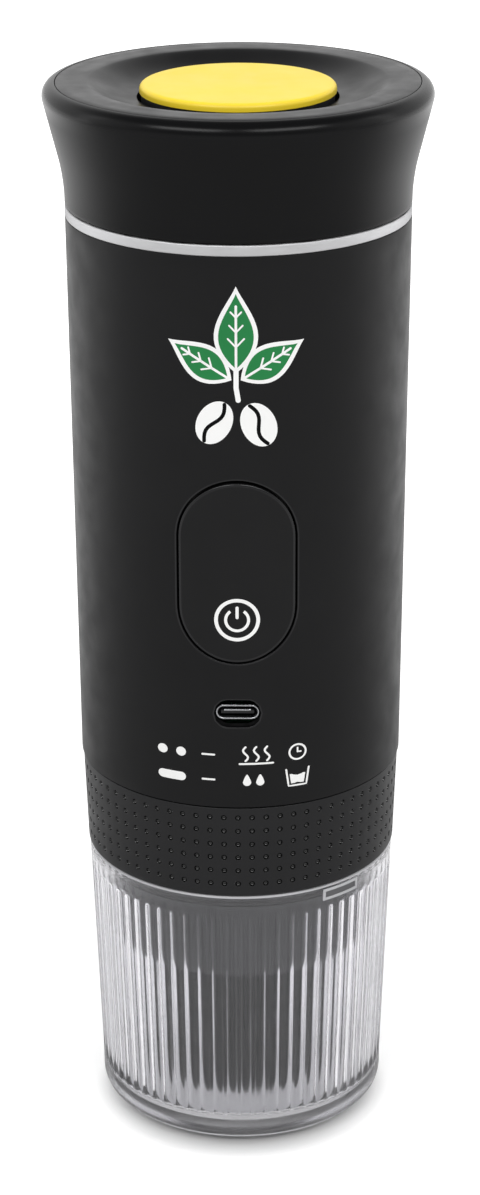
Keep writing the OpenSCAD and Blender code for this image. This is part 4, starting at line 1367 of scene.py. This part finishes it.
@dataclass
class GripBand:
    """The dimpled band round the brew holder."""

    side: Taper = Taper(60.8, 81.2, 32.95, 33.7)
    bore: float = 31.45
    edge: float = 0.25
    edge_step: float = 0.07
    columns: int = 72
    rows: int = 6
    cell_steps: int = 4
    first_z: float = 63.6
    pitch: float = 3.08
    # Radius and depth of the rings of a pit
    pit: tuple[Flat, ...] = ((0.78, 0.0), (0.66, 0.01), (0.6, 0.07), (0.55, 0.32), (0.38, 0.55))
    pit_start: float = 225.0
    pit_depth: float = 0.62
    # Depth beyond which a pit's faces take the darker pit finish, a painted shade
    dark_depth: float = 0.2

    def dimple(self, draft: Draft, turn: float, z: float) -> None:
        """Draws one cell of the band with a round pit in it.

        Args:
            draft: Draft that takes the faces.
            turn: Direction of the cell's middle.
            z: Height of the cell's middle.
        """
        radius, half_turn, half_z = self.side.radius, 180 / self.columns, self.pitch / 2
        shares = [2 * i / self.cell_steps - 1 for i in range(self.cell_steps)]
        edge = [(share, -1.0) for share in shares] + [(1.0, share) for share in shares]
        edge += [(-a, -b) for a, b in edge]
        steps = len(edge) - 1
        end = self.pit_start + 360 * steps / len(edge)
        rim = [(turn + a * half_turn, z + b * half_z) for a, b in edge]
        last = draft.row(polar(radius(h), way, h) for way, h in rim)
        for reach, depth in self.pit:
            spots = arc((0.0, z), reach, self.pit_start, end, steps)
            row = draft.row(polar(radius(h) - depth, turn + math.degrees(x / radius(h)), h)
                            for x, h in spots)
            draft.bridge(last, row, True, 1 if depth > self.dark_depth else 0)
            last = row
        draft.fan(last, polar(radius(z) - self.pit_depth, turn, z), 1)

    def build(self) -> None:
        """Draws the band as one closed piece."""
        draft = Draft()
        for k in range(self.rows):
            for c in range(self.columns):
                self.dimple(draft, 360 * c / self.columns, self.first_z + k * self.pitch)
        count = self.columns * self.cell_steps
        turns = [360 * (i / count) - 180 / self.columns for i in range(count)]
        low, high, edge, step = self.side.z_low, self.side.z_high, self.edge, self.edge_step
        first = self.first_z - self.pitch / 2
        last = first + self.rows * self.pitch
        foot = [(0.0, first), (0.0, low + edge), (step, low + step), (edge, low)]
        head = [(edge, high), (step, high - step), (0.0, high - edge), (0.0, last)]
        under, over = ([(self.side.radius(z) - inset, z) for inset, z in end]
                       for end in (foot, head))
        outline = [*under, (self.bore, low), (self.bore, high), *over]
        draft.wrap([draft.row(polar(r, a, z) for a in turns) for r, z in outline])
        coats = (Slot.grip_black, Print.pit_black)
        draft.piece("dimpled_grip", "holder", Slot.grip_black, coats, TRIM_CREASE, "grip_sleeve")


# Ring, lid and vent


@dataclass
class TrimRing:
    """The silver ring between housing and lid."""

    z_low: float = 198.3
    z_high: float = 200.5
    outer: float = 35.0
    inner: float = 30.65
    edge: float = 0.3
    edge_steps: int = 5
    columns: int = 240

    def build(self) -> None:
        """Draws the ring with rounded edges."""
        low, high, edge = self.z_low, self.z_high, self.edge
        bend, steps = self.outer - edge, self.edge_steps
        outline = [(self.inner, low), *arc((bend, low + edge), edge, -90, 0, steps),
                   (self.outer, (low + high) / 2),
                   *arc((bend, high - edge), edge, 0, 90, steps), (self.inner, high)]
        draft = Draft().lathe(outline, self.columns)
        draft.piece("silver_ring", "main_body", Slot.silver_trim, sharp=TRIM_CREASE,
                    stands_for="trim_ring")


@dataclass
class Lid:
    """The flared lid with its dished cover."""

    z_low: float = 200.8
    height: float = 24.3
    foot_r: float = 35.0
    wall: float = 2.2
    flare_r: float = 41.0
    flare_turn: float = 14.0
    edge_round: float = 2.6
    cover_t: float = 1.8
    ledge_w: float = 3.0
    rim_land: float = 6.2
    dish_depth: float = 3.2
    dish_form: float = 0.66
    dish_steps: int = 24
    well_r: float = 20.15
    well_wall: float = 1.5
    well_gap: float = 0.3
    z_web: float = 215.4
    web_t: float = 2.0
    z_well: float = 217.2
    stem_hole: float = 2.55
    gap: float = 0.1
    # Inset and rise of the steps round the lower edge
    foot_edge: tuple[Flat, ...] = ((0.3, 0.0), (0.09, 0.06))
    # Width and drop of the steps on both sides of the gap round the cover
    soft_edge: tuple[Flat, ...] = ((0.14, 0.0), (0.04, 0.05), (0.0, 0.14))
    # Width and drop of the steps round the well
    well_edge: tuple[Flat, ...] = ((0.12, 0.0), (0.03, 0.04), (0.0, 0.15))
    edge_skip: float = 4.0
    edge_steps: int = 14
    side_rows: Flat = (0.25, 0.8)
    side_steps: int = 24
    rim_rows: Flat = (2.0, 1.5)
    inner_rows: tuple[float, ...] = (11.0, 8.0, 5.0, 2.5, 0.3)
    columns: int = 256

    def radius(self, h: float) -> float:
        """Outer radius of the flared side.

        Args:
            h: Height above the lid's lower edge.

        Returns:
            The radius there.
        """
        turn = math.radians(self.flare_turn)
        reach = self.flare_r * math.sin(turn)
        if h < reach:
            return self.foot_r + self.flare_r - math.sqrt(self.flare_r ** 2 - h ** 2)
        return self.foot_r + self.flare_r * (1 - math.cos(turn)) + (h - reach) * math.tan(turn)

    @property
    def flank(self) -> float:
        """Height at which the flared side goes over into the rounded edge."""
        return self.height - self.edge_round * (1 + math.sin(math.radians(self.flare_turn)))

    @property
    def edge_r(self) -> float:
        """Radius of the middle of the rounded upper edge."""
        return self.radius(self.flank) - self.edge_round * math.cos(math.radians(self.flare_turn))

    def shell(self) -> None:
        """Draws the flared side with its ledge and web."""
        base, top, edge, radius = self.z_low, self.z_low + self.height, self.edge_r, self.radius
        first, second = self.side_rows
        shares = [i / self.side_steps for i in range(self.side_steps + 1)]
        heights = [first, *(lerp(second, self.flank, share) for share in shares)]
        outline = [(self.foot_r - inset, base + rise) for inset, rise in self.foot_edge]
        outline += [(radius(h), base + h) for h in heights]
        outline += arc((edge, top - self.edge_round), self.edge_round,
                       self.edge_skip - self.flare_turn, 90 - self.edge_skip, self.edge_steps)
        outline += [(edge + out, top - drop) for out, drop in self.soft_edge]
        ledge, shelf = top - self.cover_t, edge - self.ledge_w
        under = self.height - 2 * self.cover_t
        hole = self.well_r + self.well_wall + self.well_gap
        web, deck = self.z_web, self.z_web + self.web_t
        outline += [(edge, ledge), (shelf, ledge), (shelf, base + under),
                    (radius(under) - self.wall, base + under),
                    (radius(deck - base) - self.wall, deck), (hole, deck), (hole, web),
                    (radius(web - base) - self.wall, web)]
        outline += [(radius(h) - self.wall, base + h) for h in self.inner_rows]
        outline += [(self.foot_r - self.wall + self.foot_edge[0][0], base)]
        draft = Draft().lathe(outline, self.columns)
        draft.piece("flared_lid", "lid", Slot.lid_black, sharp=SHELL_CREASE,
                    stands_for="lid_shell")

    def cover(self) -> None:
        """Draws the dished cover with the well for the button."""
        top, outer = self.z_low + self.height, self.edge_r - self.gap
        dish_r, well = self.edge_r - self.rim_land, self.well_r
        well_out = well + self.well_wall
        curve = []
        for share in (i / self.dish_steps for i in range(self.dish_steps + 1)):
            sunk = self.dish_depth * (1 - math.cos(math.pi * share ** self.dish_form)) / 2
            curve.append((share, top - sunk))
        low = curve[-1][1]
        outline = [(outer, top - self.cover_t)]
        outline += [(outer - inset, top - drop) for inset, drop in reversed(self.soft_edge)]
        outline += [(outer - self.rim_rows[0], top), (dish_r + self.rim_rows[1], top)]
        outline += [(lerp(dish_r, well + self.well_edge[0][0], s), z) for s, z in curve]
        outline += [(well + out, low - drop) for out, drop in self.well_edge[1:]]
        outline += [(well, self.z_well), (self.stem_hole, self.z_well),
                    (self.stem_hole, self.z_web), (well_out, self.z_web)]
        outline += [(lerp(dish_r + self.cover_t, well_out, s), z - self.cover_t)
                    for s, z in reversed(curve)]
        draft = Draft().lathe(outline, self.columns)
        draft.piece("dished_cover", "lid", Slot.lid_black, (Print.cover_black,), SHELL_CREASE,
                    "lid_cover")

    def build(self) -> None:
        """Draws the side and the cover."""
        self.shell()
        self.cover()


@dataclass
class Vent:
    """The yellow button in the lid."""

    radius: float = 19.65
    z_top: float = 224.5
    plate: float = 1.6
    wall: float = 1.5
    edge: float = 1.0
    edge_steps: int = 8
    # Radius of rings on the top, and how far they lie below its middle
    dome: tuple[Flat, ...] = ((0.0, 0.0), (6.0, 0.0), (12.0, 0.004), (16.5, 0.02))
    dome_drop: float = 0.03
    cap: float = 1.75
    cap_edge: float = 0.1
    step: float = 0.35
    z_skirt: float = 219.5
    skirt_edge: float = 0.2
    stem_hole: float = 2.55
    boss: float = 4.0
    columns: int = 192

    def build(self) -> None:
        """Draws the button as a cap with a soft edge and a faintly domed top."""
        top, low, under, soft = self.z_top, self.z_skirt, self.z_top - self.plate, self.cap_edge
        foot, waist, inner = top - self.cap, self.radius - self.step, self.radius - self.wall
        cap = [(radius, top - drop) for radius, drop in self.dome]
        bend = (self.radius - self.edge, top - self.edge - self.dome_drop)
        cap += arc(bend, self.edge, 90, 0, self.edge_steps)
        cap += [(self.radius, foot + soft), (self.radius - soft, foot), (waist, foot)]
        skirt = [(waist, foot), (waist, low + self.skirt_edge), (waist - self.skirt_edge, low),
                 (inner, low), (inner, under), (self.boss, under), (self.boss, low),
                 (self.stem_hole, low), (self.stem_hole, under), (0.0, under)]
        # Below the step the skirt is black: partly a black carrier under the yellow cap, partly a
        # painted shadow in the gap under the button's edge
        draft = Draft().lathe(cap, self.columns, False).lathe(skirt, self.columns, False, 1)
        coats = (Slot.vent_yellow, Slot.part_black)
        draft.piece("vent_cap", "vent", Slot.vent_yellow, coats, stands_for="vent_button")


@dataclass
class VentSpring:
    """The coil under the button, drawn at its rest length."""

    radius: float = 7.5
    wire: float = 0.3
    turns: int = 4
    travel: float = 2.02
    rings: int = 36
    sides: int = 10

    def build(self) -> None:
        """Draws the wire between the ends of the node that it is shown instead of."""
        low, high = (corner[2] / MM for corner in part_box("vent_spring"))
        draft = Draft()
        rows = []
        count = self.turns * self.rings
        for i in range(count + 1):
            z = lerp(low + self.wire, high - self.wire, i / count)
            spots = arc((self.radius, z), self.wire, 0, 360, self.sides)[:-1]
            rows.append(draft.row(polar(r, 90 + 360 * i / self.rings, h) for r, h in spots))
        draft.bar(rows)
        coil = draft.piece("vent_coil", "lid", Slot.steel, sharp=TRIM_CREASE,
                           stands_for="vent_spring")
        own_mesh(coil)


# Screw ribs and inner works


@dataclass
class Thread:
    """Raised screw ribs on a sleeve."""

    name: str
    slot: Slot
    radius: float
    z_low: float
    z_high: float
    starts: int = 3
    lead: float = 10.0
    height: float = 0.26
    half_width: float = 0.75
    crest: float = 0.45
    root: float = 0.01
    least: float = 0.002
    run_out: float = 8.0
    steps: int = 72

    def build(self) -> None:
        """Draws the ribs, each a run-out helix."""
        draft = Draft()
        sweep = 360 * (self.z_high - self.z_low) / self.lead
        half = self.half_width
        for start in range(self.starts):
            rows = []
            for share in (i / self.steps for i in range(self.steps + 1)):
                turn = 360 * start / self.starts + sweep * share
                z = lerp(self.z_low, self.z_high, share)
                grown = min(1.0, self.run_out * share, self.run_out * (1 - share))
                tall = self.height * grown + self.least
                form = [(-self.root, -half), (tall, -half * self.crest), (tall, half * self.crest),
                        (-self.root, half)]
                rows.append(draft.row(polar(self.radius + out, turn, z + up) for out, up in form))
            draft.bar(rows)
        draft.piece(self.name, "main_body", self.slot, sharp=RIB_CREASE)


class InnerWorks:
    """The nodes that stay as they are and only get their finish."""

    # The holder body takes the lighter copy of the holder's black, a painted light
    special = {"holder_body": Print.pod_black}

    def build(self) -> None:
        """Gives every node the finish of its slot, but the holder body a lighter copy of its black
        that paints light on it.
        """
        slots = {part["node"]: part["material_slot"] for part in frame["record"]["subparts"]}
        for name, obj in frame["nodes"].items():
            finish = self.special.get(name, Slot[slots[name]]).material()
            if obj.data.materials:
                for i in range(len(obj.data.materials)):
                    obj.data.materials[i] = finish
            else:
                obj.data.materials.append(finish)
            LOG.info("%s: finish %s", name, finish.name)


# Studio


@dataclass(frozen=True)
class Lamp:
    """A soft box that points at the machine, in metres and watts."""

    name: str
    place: Point
    size: Flat
    power: float
    mirrored: bool = True
    target: Point = (0, 0, 0.12)

    def hang(self) -> None:
        """Hangs the lamp in its place."""
        data = bpy.data.lights.new(self.name, "AREA")
        data.shape = "RECTANGLE"
        data.size, data.size_y = self.size
        data.energy = self.power
        obj = bpy.data.objects.new(self.name, data)
        obj.visible_glossy = self.mirrored
        aim = (Vector(self.place) - Vector(self.target)).to_track_quat("Z", "Y")
        obj.matrix_world = Matrix.Translation(self.place) @ aim.to_matrix().to_4x4()
        bpy.context.scene.collection.objects.link(obj)


@dataclass
class Studio:
    """White floor, soft light and the camera."""

    distance: float = 0.6148
    camera_z: float = 0.3572
    turn: float = 1.0
    tilt: float = 68.46
    roll: float = -0.21
    lens: float = 94.17
    sensor: float = 36.0
    nearest: float = 0.01
    floor_reach: float = 6.0
    floor_z: float = -0.0003
    floor_rough: float = 0.9
    floor_tone: float = 0.8
    floor_glow: float = 0.42
    floor_dim: float = 0.6
    dim_reach: Flat = (0.0, 0.25)
    through_glow: float = 0.9
    # Reach, shift towards the front and tone of a soft contact shadow painted on the floor round
    # the cup's foot
    contact_reach: Flat = (0.0225, 0.0325)
    contact_shift: float = 0.0045
    contact_tone: float = 0.38
    # Reach and glow of a shadow painted on the floor under the cup, where it is seen through the
    # glass
    under_reach: Flat = (0.0275, 0.0385)
    under_glow: float = 0.53
    glow_reach: Flat = (0.12, 0.5)
    fill: float = 0.4
    front_reach: Flat = (-0.75, -0.1)
    front_tone: float = 0.2
    above_reach: Flat = (0.45, 0.8)
    above_tone: float = 0.1
    lamps: tuple[Lamp, ...] = (
        Lamp("top_box", (0.0, 0.25, 1.3), (1.4, 1.2), 6.4, False),
        Lamp("left_box", (-0.42, -0.67, 0.88), (0.65, 0.3), 3.7),
        Lamp("right_box", (0.42, -0.67, 0.88), (0.65, 0.3), 3.7),
        Lamp("left_strip", (-0.9, 0.1, 0.35), (0.16, 1.0), 0.5),
        Lamp("right_strip", (0.9, 0.1, 0.35), (0.16, 1.0), 0.5))

    def camera(self) -> None:
        """Sets up the camera at the photograph's viewing angle."""
        data = bpy.data.cameras.new("camera")
        data.lens = self.lens
        data.sensor_width = self.sensor
        data.clip_start = self.nearest
        obj = bpy.data.objects.new("camera", data)
        place = Matrix.Translation(polar(self.distance, self.turn, self.camera_z))
        turn, tilt, roll = (Matrix.Rotation(math.radians(angle), 4, axis) for angle, axis in
                            ((self.turn, "Z"), (self.tilt, "X"), (self.roll, "Z")))
        obj.matrix_world = place @ turn @ tilt @ roll
        bpy.context.scene.collection.objects.link(obj)
        bpy.context.scene.camera = obj

    def floor_paint(self) -> bpy.types.Material:
        """Makes the floor white, with the shadow kept, shadows painted round and under the cup,
        and a darker mirror image in front.

        Returns:
            The floor's material.
        """
        paint = Paint("floor_white")
        path = paint.add("LightPath").outputs
        far = paint.distance(paint.place, (0.0, 0.0, 0.0))
        # Painted contact shadow: near the foot the floor glows less and its colour is darker
        shadow_distance = paint.distance(paint.place, (0.0, -self.contact_shift, 0.0))
        shadow_glow = paint.span(shadow_distance, self.contact_reach, (0.0, self.floor_glow))
        beyond = paint.span(far, self.glow_reach, (0.0, 1.0 - self.floor_glow))
        glow = paint.join("ADD", shadow_glow, beyond)
        front = paint.span(paint.axis(paint.place, "Y"), self.dim_reach, (self.floor_dim, 0.0))
        tone = paint.join("SUBTRACT", 1.0, paint.join("MULTIPLY", path["Is Glossy Ray"], front))
        seen = paint.join("MAXIMUM", path["Is Camera Ray"], path["Is Glossy Ray"])
        shown = paint.join("MULTIPLY", paint.join("MULTIPLY", glow, tone), seen)
        # Seen through the glass, the floor under the cup glows less: a painted shadow
        through_shade = paint.span(far, self.under_reach, (self.under_glow, self.through_glow))
        through = paint.join("MULTIPLY", path["Is Transmission Ray"], through_shade)
        # Floor colour darkened near the foot: the painted contact shadow
        tones = (self.contact_tone * self.floor_tone, self.floor_tone)
        colour = paint.join("MULTIPLY", tone, paint.span(shadow_distance, self.contact_reach, tones))
        paint.set(Base_Color=colour, Roughness=self.floor_rough, Specular_IOR_Level=0.0,
                  Emission_Color=WHITE, Emission_Strength=paint.join("MAXIMUM", shown, through))
        return paint.material

    def floor(self) -> None:
        """Lays the floor."""
        mesh = bpy.data.meshes.new("floor")
        r, z = self.floor_reach, self.floor_z
        mesh.from_pydata([(-r, -r, z), (r, -r, z), (r, r, z), (-r, r, z)], [], [(0, 1, 2, 3)])
        mesh.materials.append(self.floor_paint())
        obj = bpy.data.objects.new("floor", mesh)
        bpy.context.scene.collection.objects.link(obj)

    def sky(self) -> None:
        """Makes the surroundings white where they show, and softer where they light or mirror."""
        world = bpy.data.worlds.new("studio")
        bpy.context.scene.world = world
        world.use_nodes = True
        sums = Sums(world.node_tree)
        path = sums.add("LightPath").outputs
        way = sums.add("TexCoord").outputs["Generated"]
        front = sums.span(sums.axis(way, "Y"), self.front_reach, (self.front_tone, 1.0))
        above = sums.span(sums.axis(way, "Z"), self.above_reach, (1.0, self.above_tone))
        soft = sums.join("MULTIPLY", front, above)
        mirrored = sums.join("MULTIPLY", path["Is Glossy Ray"], soft)
        plain = sums.join("MULTIPLY", path["Is Diffuse Ray"], self.fill)
        shown = sums.join("MAXIMUM", path["Is Camera Ray"], path["Is Transmission Ray"])
        level = sums.join("MAXIMUM", sums.join("MAXIMUM", mirrored, plain), shown)
        back = sums.add("Background", Color=WHITE, Strength=level)
        sums.add("OutputWorld", Surface=back.outputs["Background"])

    def build(self) -> None:
        """Sets up camera, floor, surroundings and lamps."""
        bpy.context.scene.view_settings.view_transform = "Standard"
        self.camera()
        self.floor()
        self.sky()
        for lamp in self.lamps:
            lamp.hang()


def main() -> None:
    """Builds the studio and every piece of the machine in order."""
    logging.basicConfig(level=logging.INFO, format="%(message)s")
    assemblies = (Studio(), InnerWorks(), Cup(), Spout(), GripBand(), Housing(), PowerKey(),
                  ChargingPort(), TrimRing(), Lid(), Vent(), VentSpring(),
                  Thread("neck_thread", Slot.holder_black, radius=30.35,
                         z_low=202.6, z_high=209.2),
                  Thread("skirt_thread", Slot.holder_black, radius=27.2,
                         z_low=70.0, z_high=79.0), Prints())
    for assembly in assemblies:
        assembly.build()


if __name__ == "__main__":
    main()
